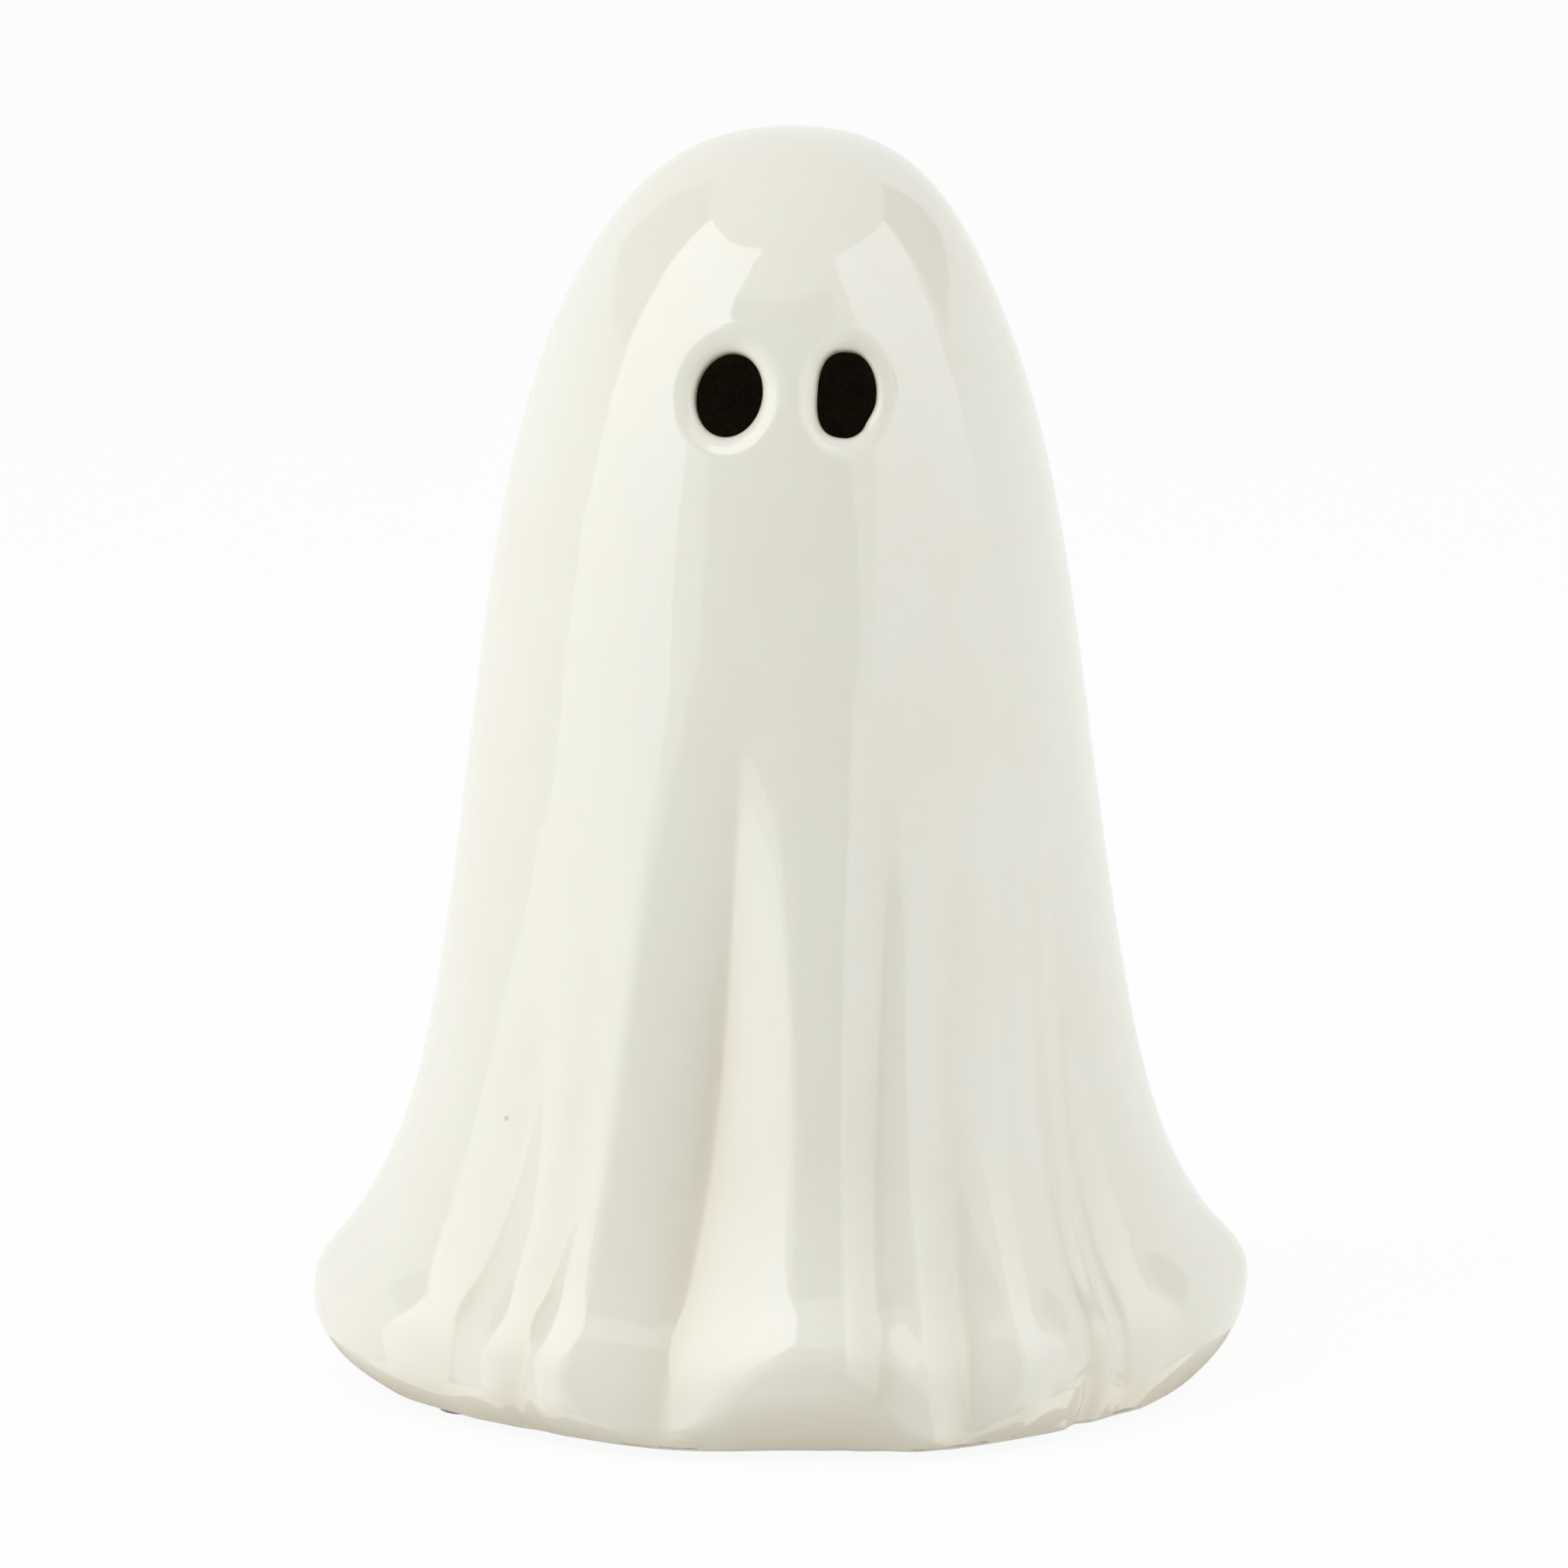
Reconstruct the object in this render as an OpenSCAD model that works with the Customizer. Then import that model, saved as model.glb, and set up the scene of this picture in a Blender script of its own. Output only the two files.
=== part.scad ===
/* [Figure] */
// Height of the figure, from the table to its crown
figure_h = 178; // [160:1:200]
// Radius of the skirt at its widest line, on the crest of a fold
hem_r = 67.5; // [61:0.5:75]
// Height of that widest line above the table
hem_z = 10; // [9:0.5:12]
// How far the skirt tucks in from that line to the mean outline of its foot
tuck_w = 7.5; // [6:0.1:9]
// Depth of the folds, which the table of folds takes shares of
fold_d = 10; // [6:0.1:11]
// Height above the hem where the folds have died out
fold_h = 100; // [80:1:110]
// Height above the hem over which the hem's own rise and fall dies out
hem_blend_h = 26; // [22:1:32]
// How far the crown stands to the right of the skirt's centre
crown_sway = 1.6; // [0:0.1:3]
// Thickness of the ceramic wall
wall_t = 4.2; // [3.5:0.1:5]

/* [Eyes] */
// Width of the left eye hole
left_eye_w = 9.4; // [8:0.1:11]
// Height of the left eye hole
left_eye_h = 11.8; // [10:0.1:14]
// Width of the right eye hole
right_eye_w = 8.4; // [7:0.1:10.5]
// Height of the right eye hole
right_eye_h = 12.2; // [10:0.1:14]
// Height of the eyes' centres above the table
eye_z = 145.2; // [138:0.1:151]
// Depth of the soft lip round each eye hole
eye_lip = 1.4; // [0.8:0.1:1.8]

/* [Underside] */
// Width of the foot ring, outside the recess
foot_ring_w = 10.5; // [10:0.1:13]
// Depth of the recess in the underside
recess_d = 4.2; // [4:0.1:5]
// Thickness of the ceramic floor
floor_t = 5; // [4:0.1:6]
// Thickness of the foam pads
pad_t = 1.2; // [0.8:0.1:1.6]
// Radius of a foam pad
pad_r = 3.4; // [3:0.1:4]
// Thickness of the rubber collar's sleeve
collar_t = 1.8; // [1.4:0.1:2.4]
// How far the collar's lips reach over the ceramic
collar_lip_w = 3; // [2:0.1:4]

/* [Light unit] */
// Room between the door screw's boss and the tub's wall
unit_margin = 0.95; // [0.5:0.05:2]
// Thickness of the moulded walls
mould_t = 1.6; // [1.2:0.1:1.8]
// Thickness of the base plate
plate_t = 2.8; // [2.6:0.1:3]
// Radius of the frosted lens
lens_r = 8.8; // [8.2:0.1:10]
// Height of the lens above the tub's roof
lens_h = 10.5; // [9.5:0.1:13]
// Travel of the switch
switch_travel = 2; // [1.6:0.1:2.4]

/* [Battery] */
// Radius of a size AAA cell
cell_r = 5.25; // [5.2:0.01:5.3]
// Length of a size AAA cell
cell_l = 44.5; // [44:0.1:45]
// Thickness of the battery door
door_t = 1.5; // [1.3:0.1:1.7]
// Number of turns in a battery spring
spring_turns = 3.5; // [2.5:0.5:3.5]

/* [Hidden] */

// Clearances, and the overrun of a cut
run_gap = 0.08;
soft_gap = 0.3;
touch_gap = 0.05;
thread_gap = 0.02;
cut = 1;

// Outline of the body above the hem: radius as a share of hem_r, height as a share of what lies
// between the hem and the crown. The first and last points only steer the curve's ends.
profile_shares = [
    [0.982, -0.030], [1, 0], [0.998, 0.031], [0.920, 0.063], [0.864, 0.102],
    [0.808, 0.150], [0.761, 0.216], [0.716, 0.313], [0.677, 0.420], [0.642, 0.528],
    [0.607, 0.630], [0.566, 0.720], [0.514, 0.797], [0.451, 0.863], [0.370, 0.924],
    [0.265, 0.973], [0.116, 1.002], [-0.116, 1.002], [-0.265, 0.973]
];
profile_last = len(profile_shares) - 2.5;
// Height from which the body sways to the right, as a share of figure_h
sway_share = 0.82;

// Folds of the skirt, in order round the figure from its left side past the front. Each row is one
// line, a crest or a crease or the edge of a flat: its azimuth from the front at the hem, at
// fold_mid_share of fold_h and at fold_h, in degrees; three steering depths from the hem up, as
// shares of fold_d; the height of the turned hem below it as a share of hem_z; the foot's radius
// below it as a share of foot_r; and the angle either side over which it is rounded, in degrees.
fold_mid_share = 0.36;
fold_shares = [
    [-90, -90, -90, 0.03, -0.07, 0, 1.05, 1.015, 14], [-64, -62, -60, -0.1, -0.12, -0.05, 0.8, 1, 8],
    [-49, -47, -46, -0.6, -0.5, -0.05, 0.7, 0.97, 4], [-41, -40, -38, -0.5, -0.5, -0.08, 0.8, 0.955, 3],
    [-36, -35, -33, -0.62, -0.56, -0.03, 0.85, 0.945, 2.5],
    [-31.5, -29.2, -20, -0.45, -0.58, 0.1, 0.75, 0.95, 3],
    [-16.5, -11.6, -7.5, -0.8, -1.4, 0, 0.45, 0.965, 2.2], [1.5, 2.6, -2, -0.48, -0.2, 0.15, 1.2, 0.935, 2],
    [8, 9.8, 13, -0.46, -0.2, 0.15, 1.2, 0.945, 2], [12.5, 15.6, 20, -0.6, -0.4, 0, 0.9, 0.965, 2],
    [19.6, 21.3, 26, -0.46, -0.26, 0.02, 0.45, 1, 2], [24, 28.5, 36, -0.6, -0.45, -0.03, 0.5, 1.005, 2.2],
    [33, 36.5, 40, -0.3, -0.24, -0.1, 0.75, 1, 2.2], [40.5, 45.5, 48, -0.44, -0.42, -0.1, 0.9, 1.005, 2],
    [44, 49.5, 51, -0.58, -0.48, -0.1, 0.95, 1.01, 1.6], [47, 52, 54, -0.48, -0.44, -0.1, 0.85, 1.015, 1.6],
    [51, 56, 60, -0.56, -0.48, -0.1, 0.65, 1.02, 2.5], [67, 68, 70, -0.12, -0.16, -0.05, 0.95, 1.015, 7],
    [90, 90, 90, 0.03, 0.06, 0, 1.25, 1.015, 10], [105, 104, 103, -0.5, -0.5, 0, 0.6, 0.98, 5],
    [121, 120, 119, -0.05, -0.1, 0, 1, 1, 8], [137, 138, 139, -0.55, -0.6, 0, 0.5, 0.98, 5],
    [152, 153, 155, -0.1, -0.2, 0, 0.8, 1, 6], [166, 165, 164, -0.75, -0.6, 0, 0.5, 0.975, 5],
    [182, 181, 181, -0.38, -0.1, 0, 1.1, 0.98, 8], [200, 201, 201, -0.8, -0.8, 0, 0.5, 0.975, 5],
    [222, 221, 221, -0.05, 0, 0, 1.1, 1, 8], [236, 237, 238, -0.55, -0.6, 0, 0.5, 0.98, 5],
    [248, 247, 246, -0.1, -0.1, 0, 0.95, 1, 5], [257, 256, 255, -0.3, -0.3, 0, 0.75, 1.01, 4]
];
fold_count = len(fold_shares);
// How far the foot stays inside the hem, as a share of the hem's height above the foot
tuck_share = 0.3;
// Angle either side over which every fold line is rounded inside the wall
inner_soft = 8;
outer_rows = 30;
tuck_rows = 5;
steps_per_fold = 4;
inner_rows = 14;
inner_columns = 52;

// Azimuth from the front and lean of each eye, as seen from the front
left_eye_azimuth = -12.4;
right_eye_azimuth = 14.8;
left_eye_lean = -8;
right_eye_lean = -2;
// Both holes are pierced along one line, turned and tilted from straight ahead
eye_turn = -5;
eye_tilt = 14;
eye_points = 36;

// Underside
foot_r = hem_r - tuck_w;
recess_r = foot_r - foot_ring_w;
recess_z = pad_t + recess_d;
floor_z = recess_z + floor_t;
pad_margin = 0.4;
pad_ring_r = recess_r + pad_r + pad_margin;
// Azimuth of the right front pad, which the other three mirror
pad_azimuth = 57;
plate_z = pad_t + plate_t;

// Battery tray
cell_gap = 0.4;
cell_y = cell_r + cell_gap;
cell_z = plate_z + cell_gap + cell_r;
contact_t = 0.4;
spring_l = 4.4;
tray_half_l = (cell_l + spring_l) / 2 + contact_t + touch_gap;
tray_half_w = 2 * cell_r + 2 * cell_gap;
tray_wall = 1.2;
tray_top = cell_z + cell_r + cell_gap + tray_wall;
tray_roof_z = tray_top - tray_wall;
nub_r = 1.9;
nub_l = 1;
pole_r = 3.6;
cell_edge = 0.5;

// Contacts and springs
contact_half_w = 4;
contact_half_h = 4.2;
tab_half_w = 1;
tab_h = 0.9;
wire_r = 0.3;
spring_foot_r = 3.3;
spring_head_r = 2.2;
rings_per_turn = 8;
wire_sides = 6;

// Battery door and its hinge
hinge_r = 1.15;
hinge_z = pad_t + plate_t / 2;
trunnion_r = 0.7;
trunnion_l = 1.4;
hinge_sweep_r = plate_t / 2 + soft_gap;
hinge_x = -(tray_half_l + tray_wall + hinge_sweep_r);
hinge_half_w = tray_half_w - touch_gap;
door_ledge = 0.6;
door_half_w = tray_half_w + door_ledge;
door_start_x = hinge_x + hinge_sweep_r + door_ledge;
door_screw_r = 1;
door_screw_gap = 0.5;
door_boss_r = 2.4;
door_boss_h = 3.4;
door_screw_x = tray_half_l + tray_wall + door_boss_r + touch_gap;
door_screw_top = plate_z + door_boss_h - door_screw_gap;
door_head_r = 1.9;
door_head_h = 0.8;
door_end_margin = 0.8;
door_end_x = door_screw_x + door_head_r + door_end_margin;
door_top = pad_t + door_t;
pocket_top = door_top + soft_gap;
foam_w = 14;
foam_l = 36;

// Light unit, from the tub that clears the door screw's boss outwards
unit_r = door_screw_x + door_boss_r + unit_margin + mould_t;
tub_inner_r = unit_r - mould_t;
unit_bore_r = unit_r + run_gap;
bore_r = unit_bore_r + collar_t;
bore_sides = 96;
lip_r = bore_r + collar_lip_w;
bead_r = bore_r + collar_lip_w / 2;
bead_h = collar_lip_w / 2;
plate_r = lip_r + touch_gap;

// Housing screws
boss_r = 2.6;
boss_ring_r = tub_inner_r - boss_r / 2;
boss_azimuths = [50, 130, 230, 310];
screw_r = 0.9;
screw_head_r = 1.9;
screw_head_h = 1.2;
screw_l = 9;

// Switch and circuit board
board_gap = 3.2;
board_half_l = 11.5;
board_half_w = 5;
board_t = 1.2;
board_y = tray_half_w + tray_wall + board_gap + board_half_w;
case_half_l = 4.3;
case_half_w = 1.85;
case_h = 3.5;
board_z = plate_z + case_h;
board_top = board_z + board_t;
knob_half_l = 1;
knob_half_w = 0.8;
knob_tip = 0.3;
flange_half_l = 1.9;
flange_half_w = 1.2;
flange_t = 0.6;
flange_z = plate_z + 0.8 * flange_t;
finger_half_l = 7;
finger_half_w = 3.4;
finger_d = 1.1;
post_x = 8.6;
post_r = 2.1;
board_screw_r = 0.8;
board_screw_l = 4;
chip_size = [5, 4, 1.5];
chip_x = -2.6;
resistor_size = [3.2, 1.6, 0.7];
resistor_x = 3;

// Lamp and lens
lamp_board_r = 7;
lamp_board_t = 1.2;
lamp_board_top = tray_top + lamp_board_t;
led_r = 2.5;
led_flange_r = 2.9;
led_flange_h = 1;
led_h = 5.4;
lens_t = 1.1;
lens_flange_w = 1.8;
lens_flange_t = 1;
ring_w = 1.5;
ring_h = 1.4;
ring_gap_half_w = 1.6;
lens_z = tray_top + ring_h;
tub_roof_z = lens_z + lens_flange_t;
tub_top = tub_roof_z + mould_t;

// Leads. Each runs over the tray's top, drops past its side and ends on the circuit board. A route gives
// shares of the contacts' place along X and of the tray's side along Y; the drop gives shares of the way
// from the tray's side to the lead's end along Y, and of its fall.
lead_r = 0.55;
lead_sides = 8;
lead_z = tray_top + lead_r + touch_gap;
lead_side_y = tray_half_w + tray_wall + lead_r + 2 * touch_gap;
lead_end_y = board_y - board_half_w + 2 * lead_r;
lead_end_z = board_top + touch_gap;
contact_x = tray_half_l - contact_t;
red_route_shares = [[0.9, 0.52], [0.67, 0.68], [0.42, 0.8], [0.27, 0.88]];
black_route_shares = [[0.91, -0.33], [0.77, -0.08], [0.62, 0.3], [0.42, 0.62], [0.24, 0.8], [0.155, 0.9]];
lamp_route_shares = [0.62, 0.75, 0.9];
drop_shares = [
    [-0.16, 0.008], [0, 0.09], [0.02, 0.3], [0.2, 0.55], [0.6, 0.72], [0.95, 0.8], [1, 0.88], [1, 1]];
red_lead_x = 5.6;
black_lead_x = 3.2;
lamp_lead_x = 0.8;

function mix(a, b, t) = a + (b - a) * t;
function clip(t) = min(1, max(0, t));

// Point of a uniform cubic spline that the points p steer, s counted in points
function spline(p, s) =
    let (i = floor(s), t = s - i)
    (pow(1 - t, 3) * p[i - 1] + (3 * t * t * t - 6 * t * t + 4) * p[i]
        + (-3 * t * t * t + 3 * t * t + 3 * t + 1) * p[i + 1] + t * t * t * p[i + 2]) / 6;
function spline_slope(p, s) =
    let (i = floor(s), t = s - i)
    (-pow(1 - t, 2) * p[i - 1] + (3 * t * t - 4 * t) * p[i]
        + (-3 * t * t + 2 * t + 1) * p[i + 1] + t * t * p[i + 2]) / 2;

profile = [for (p = profile_shares) [p[0] * hem_r, hem_z + p[1] * (figure_h - hem_z)]];

// Place on a circle, azimuth a counted from the front (-Y) towards +X
function place(r, a, z) = [r * sin(a), -r * cos(a), z];
function sway(z) = [crown_sway * pow(clip((z / figure_h - sway_share) / (1 - sway_share)), 2), 0, 0];

// The fold lines at height z, with lead_lines of their neighbours past each end of the round: azimuth
// along a parabola through the three given, depth along the curve its three steer, then the table's
// last three columns
lead_lines = 5;
function fold_lines(z) =
    let (u = clip((z - hem_z) / fold_h), m = fold_mid_share)
    [for (k = [-lead_lines:fold_count + lead_lines])
        let (f = fold_shares[(k + fold_count) % fold_count],
            bend = ((f[2] - f[0]) * m - (f[1] - f[0])) / (m * (1 - m)))
        [360 * floor(k / fold_count) + f[0] + (f[2] - f[0] - bend) * u + bend * u * u,
            fold_d * (pow(1 - u, 3) * f[3] + 3 * u * pow(1 - u, 2) * f[4] + 3 * u * u * (1 - u) * f[5]),
            f[6], f[7], f[8]]];
function slope(l, i) = (l[i + 1][1] - l[i][1]) / (l[i + 1][0] - l[i][0]);
function wrapped(l, a) = a - 360 * floor((a - l[lead_lines][0]) / 360);
function find_line(l, a, i = lead_lines) = a < l[i + 1][0] ? i : find_line(l, a, i + 1);

// Depth at azimuth a: straight from line to line, and rounded where the slope changes
function offset_at(l, a, soft = 0) =
    let (w = wrapped(l, a), i = find_line(l, w),
        bends = [for (j = [i - 3:i + 4])
            let (s = max(soft, l[j][4]), q = max(0, s - abs(w - l[j][0])))
            (slope(l, j) - slope(l, j - 1)) * pow(q, 3) / (6 * s * s)])
    l[i][1] + slope(l, i) * (w - l[i][0]) + bends * [for (b = bends) 1];

// A column of the table at azimuth a, eased from line to line
function eased(l, a, column) =
    let (w = wrapped(l, a), i = find_line(l, w), t = (w - l[i][0]) / (l[i + 1][0] - l[i][0]))
    mix(l[i][column], l[i + 1][column], (1 - cos(180 * t)) / 2);
hem_lines = fold_lines(hem_z);
function hem_drop(a, z) = hem_z * (1 - eased(hem_lines, a, 2)) * pow(1 - clip((z - hem_z) / hem_blend_h), 2);

// Columns follow the folds, so that each crest and crease is a line of the mesh
function column_azimuth(l, c) =
    let (k = lead_lines + floor(c / steps_per_fold), t = (c % steps_per_fold) / steps_per_fold)
    mix(l[k][0], l[k + 1][0], t);
columns = fold_count * steps_per_fold;
hem_azimuths = [for (c = [0:columns - 1]) column_azimuth(hem_lines, c)];

function tuck_ring(j) =
    let (t = j / tuck_rows, p = spline(profile, 1))
    [for (a = hem_azimuths)
        let (rim = p[0] + offset_at(hem_lines, a), hem = hem_z - hem_drop(a, hem_z),
            foot = min(foot_r * eased(hem_lines, a, 3), rim - tuck_share * (hem - pad_t)))
        place(mix(foot, rim, sin(90 * t)), a, mix(pad_t, hem, t))];
function body_ring(s) =
    let (p = spline(profile, s), l = fold_lines(p[1]))
    [for (c = [0:columns - 1])
        let (a = column_azimuth(l, c))
        place(p[0] + offset_at(l, a), a, p[1] - hem_drop(hem_azimuths[c], p[1])) + sway(p[1])];
function inner_ring(j) =
    let (s = mix(1, profile_last, j / (inner_rows + 1)), p = spline(profile, s), d = spline_slope(profile, s),
        n = [d[1], -d[0]] / norm(d), l = fold_lines(p[1]))
    [for (c = [0:inner_columns - 1])
        let (a = 360 * c / inner_columns, z = p[1] - wall_t * n[1] - hem_drop(a, p[1]))
        place(p[0] - wall_t * n[0] + offset_at(l, a, inner_soft), a,
            j == 0 ? floor_z : max(z, floor_z + j * touch_gap)) + sway(p[1])];

// Closed solid of rings that climb from the bottom ring to a point
module ring_solid(rings, tip) {
    rows = len(rings);
    n = len(rings[0]);
    base = [0, 0, rings[0][0][2]];
    points = concat([for (r = rings) each r], [base, tip]);
    faces = concat(
        [for (j = [0:rows - 2], c = [0:n - 1])
            each [[j * n + c, (j + 1) * n + c, j * n + (c + 1) % n],
                [j * n + (c + 1) % n, (j + 1) * n + c, (j + 1) * n + (c + 1) % n]]],
        [for (c = [0:n - 1]) [rows * n, c, (c + 1) % n]],
        [for (c = [0:n - 1]) [rows * n + 1, (rows - 1) * n + (c + 1) % n, (rows - 1) * n + c]]);
    polyhedron(points, faces);
}

// Place along the profile where it first reaches height z, in steps of a fiftieth of a steering point
function profile_place(z, s = 1) =
    s >= profile_last || spline(profile, s)[1] >= z ? s : profile_place(z, s + 0.02);

// Hole through the wall, and the lip that leads in to it square to the surface
module eye_cut(azimuth, lean, w, h) {
    outline = [for (i = [0:eye_points - 1])
        [w / 2 * cos(360 * i / eye_points), h / 2 * sin(360 * i / eye_points)]];
    s = profile_place(eye_z);
    d = spline_slope(profile, s);
    translate(place(spline(profile, s)[0], azimuth, eye_z)) {
        rotate([90 - eye_tilt, 0, eye_turn]) rotate(lean)
            translate([0, 0, -3 * wall_t]) linear_extrude(6 * wall_t) polygon(outline);
        rotate([90 - atan2(-d[0], d[1]), 0, azimuth]) rotate(lean)
            translate([0, 0, -eye_lip])
                linear_extrude(2 * eye_lip, scale = 1 + 4 * eye_lip / w) polygon(outline);
    }
}

module ghost_shell() {
    crown = [0, 0, spline(profile, profile_last)[1]] + sway(figure_h);
    color("ivory") difference() {
        ring_solid(
            concat([for (j = [0:tuck_rows - 1]) tuck_ring(j)],
                [for (j = [0:outer_rows - 1]) body_ring(mix(1, profile_last, j / outer_rows))]),
            crown);
        ring_solid([for (j = [0:inner_rows]) inner_ring(j)], crown - [0, 0, wall_t]);
        translate([0, 0, -cut]) cylinder(r = recess_r, h = recess_z + cut, $fn = 96);
        // The flats of the bore lie on the collar's round sleeve
        cylinder(r = bore_r / cos(180 / bore_sides), h = floor_z + cut, $fn = bore_sides);
        eye_cut(left_eye_azimuth, left_eye_lean, left_eye_w, left_eye_h);
        eye_cut(right_eye_azimuth, right_eye_lean, right_eye_w, right_eye_h);
    }
}

module foot_pads() {
    color("gainsboro") for (a = [pad_azimuth, 180 - pad_azimuth, pad_azimuth - 180, -pad_azimuth])
        translate(place(pad_ring_r, a, 0)) cylinder(r = pad_r, h = pad_t, $fn = 48);
}

module ring(outer, inner, z0, z1) {
    translate([0, 0, z0]) difference() {
        cylinder(r = outer, h = z1 - z0, $fn = 96);
        translate([0, 0, -cut]) cylinder(r = inner, h = z1 - z0 + 2 * cut, $fn = 96);
    }
}

module base_collar() {
    color("gainsboro") rotate_extrude($fn = 96) polygon([
        [unit_bore_r, plate_z + soft_gap], [lip_r, plate_z + soft_gap], [lip_r, recess_z], [bore_r, recess_z],
        [bore_r, floor_z], [bead_r, floor_z], [unit_bore_r, floor_z + bead_h]]);
}

module base_plate() {
    color("white") difference() {
        union() {
            translate([0, 0, pad_t]) cylinder(r = plate_r, h = plate_t, $fn = 96);
            translate([door_screw_x, 0, plate_z - plate_t / 2])
                cylinder(r = door_boss_r, h = door_boss_h + plate_t / 2, $fn = 32);
            for (x = [-post_x, post_x]) translate([x, board_y, plate_z - plate_t / 2])
                cylinder(r = post_r, h = case_h + plate_t / 2, $fn = 32);
        }
        // Pocket for the door, and the way in for the cells
        translate([hinge_x + hinge_sweep_r - soft_gap, -door_half_w - soft_gap, pad_t - cut])
            cube([door_end_x - hinge_x - hinge_sweep_r + 2 * soft_gap, 2 * (door_half_w + soft_gap),
                pocket_top - pad_t + cut]);
        translate([-tray_half_l, -tray_half_w, pad_t])
            cube([2 * tray_half_l, 2 * tray_half_w, plate_t + cut]);
        // Slot and bore for the hinge
        translate([hinge_x - hinge_sweep_r, -hinge_half_w - soft_gap, pad_t - cut])
            cube([2 * hinge_sweep_r, 2 * (hinge_half_w + soft_gap), plate_t + 2 * cut]);
        translate([hinge_x, 0, hinge_z]) rotate([90, 0, 0])
            cylinder(r = trunnion_r + run_gap, h = 2 * (hinge_half_w + trunnion_l + soft_gap),
                center = true, $fn = 32);
        translate([door_screw_x, 0, pad_t - cut])
            cylinder(r = door_screw_r + door_screw_gap, h = plate_t + door_boss_h + 2 * cut, $fn = 32);
        // Finger hollow and slot for the switch
        translate([-finger_half_l, board_y - finger_half_w, pad_t - cut])
            cube([2 * finger_half_l, 2 * finger_half_w, finger_d + cut]);
        translate([-knob_half_l - switch_travel / 2 - soft_gap, board_y - knob_half_w - soft_gap, pad_t])
            cube([2 * knob_half_l + switch_travel + 2 * soft_gap, 2 * (knob_half_w + soft_gap),
                plate_t + cut]);
        for (x = [-post_x, post_x]) translate([x, board_y, board_z - board_screw_l])
            cylinder(r = board_screw_r, h = board_screw_l + cut, $fn = 32);
        for (a = boss_azimuths) rotate(a) translate([boss_ring_r, 0, pad_t - cut]) {
            cylinder(r = screw_head_r + run_gap, h = screw_head_h + cut, $fn = 32);
            cylinder(r = screw_r + run_gap, h = plate_t + 2 * cut, $fn = 32);
        }
    }
}

module tub_housing() {
    color("white") {
        difference() {
            union() {
                ring(unit_r, tub_inner_r, plate_z, tub_top);
                translate([0, 0, tub_roof_z]) cylinder(r = unit_r - mould_t / 2, h = mould_t, $fn = 96);
                for (a = boss_azimuths) rotate(a) translate([boss_ring_r, 0, plate_z])
                    cylinder(r = boss_r, h = tub_roof_z - plate_z + mould_t / 2, $fn = 32);
            }
            translate([0, 0, tub_roof_z - cut])
                cylinder(r = lens_r + run_gap, h = mould_t + 2 * cut, $fn = 64);
            for (a = boss_azimuths) rotate(a) translate([boss_ring_r, 0, plate_z - cut])
                cylinder(r = screw_r, h = screw_l + cut, $fn = 32);
        }
    }
}

module screw(r, l, head_r, head_h) {
    difference() {
        union() {
            cylinder(r = head_r, h = head_h, $fn = 32);
            cylinder(r = r, h = l, $fn = 32);
        }
        for (turn = [0, 90]) rotate(turn) translate([-head_r / 2, -r / 4, -cut])
            cube([head_r, r / 2, head_h / 2 + cut]);
    }
}

module housing_screws() {
    color("silver") for (a = boss_azimuths) rotate(a) translate([boss_ring_r, 0, pad_t])
        screw(screw_r - thread_gap, screw_l, screw_head_r, screw_head_h - thread_gap);
}

module battery_tray() {
    color("white") difference() {
        union() {
            translate([-tray_half_l - tray_wall, -tray_half_w - tray_wall, plate_z])
                cube([2 * (tray_half_l + tray_wall), 2 * (tray_half_w + tray_wall), tray_top - plate_z]);
            ring(lens_r + lens_flange_w, lens_r + lens_flange_w - ring_w, tray_roof_z, lens_z);
        }
        translate([-tray_half_l, -tray_half_w, plate_z - cut])
            cube([2 * tray_half_l, 2 * tray_half_w, tray_roof_z - plate_z + cut]);
        // Slots for the solder tabs, and the gap in the ring for the lamp's leads
        for (y = [-cell_y, cell_y])
            translate([contact_x - run_gap, y - tab_half_w - run_gap, tray_roof_z - cut])
                cube([contact_t + run_gap, 2 * (tab_half_w + run_gap), tray_wall + 2 * cut]);
        translate([-ring_gap_half_w, 0, tray_top])
            cube([2 * ring_gap_half_w, lens_r + lens_flange_w + cut, ring_h + cut]);
    }
}

// A cell on its side, its positive end towards +X
module cell() {
    rotate([0, 90, 0]) translate([0, 0, -cell_l / 2]) {
        rotate_extrude($fn = 64) polygon([
            [0, 0], [pole_r, 0], [pole_r, cell_edge / 2], [cell_r - cell_edge, cell_edge / 2],
            [cell_r, cell_edge], [cell_r, cell_l - nub_l - cell_edge], [cell_r - cell_edge, cell_l - nub_l],
            [nub_r, cell_l - nub_l], [nub_r, cell_l], [0, cell_l]]);
    }
}
cell_shift = spring_l / 2;

module battery_cell_rear() {
    color("darkgreen") translate([cell_shift, cell_y, cell_z]) cell();
}

module battery_cell_front() {
    color("darkgreen") translate([-cell_shift, -cell_y, cell_z]) rotate([0, 0, 180]) cell();
}

module bridge_contact() {
    color("silver") translate([-tray_half_l, -cell_y - contact_half_w, cell_z - contact_half_h])
        cube([contact_t, 2 * (cell_y + contact_half_w), 2 * contact_half_h]);
}

module end_contact(y) {
    color("silver") translate([tray_half_l - contact_t, y, 0]) {
        translate([0, -contact_half_w, cell_z - contact_half_h])
            cube([contact_t, 2 * contact_half_w, 2 * contact_half_h]);
        translate([0, -tab_half_w, cell_z]) cube([contact_t, 2 * tab_half_w, tray_top + tab_h - cell_z]);
    }
}

module positive_contact() {
    end_contact(cell_y);
}

module negative_contact() {
    end_contact(-cell_y);
}

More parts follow.
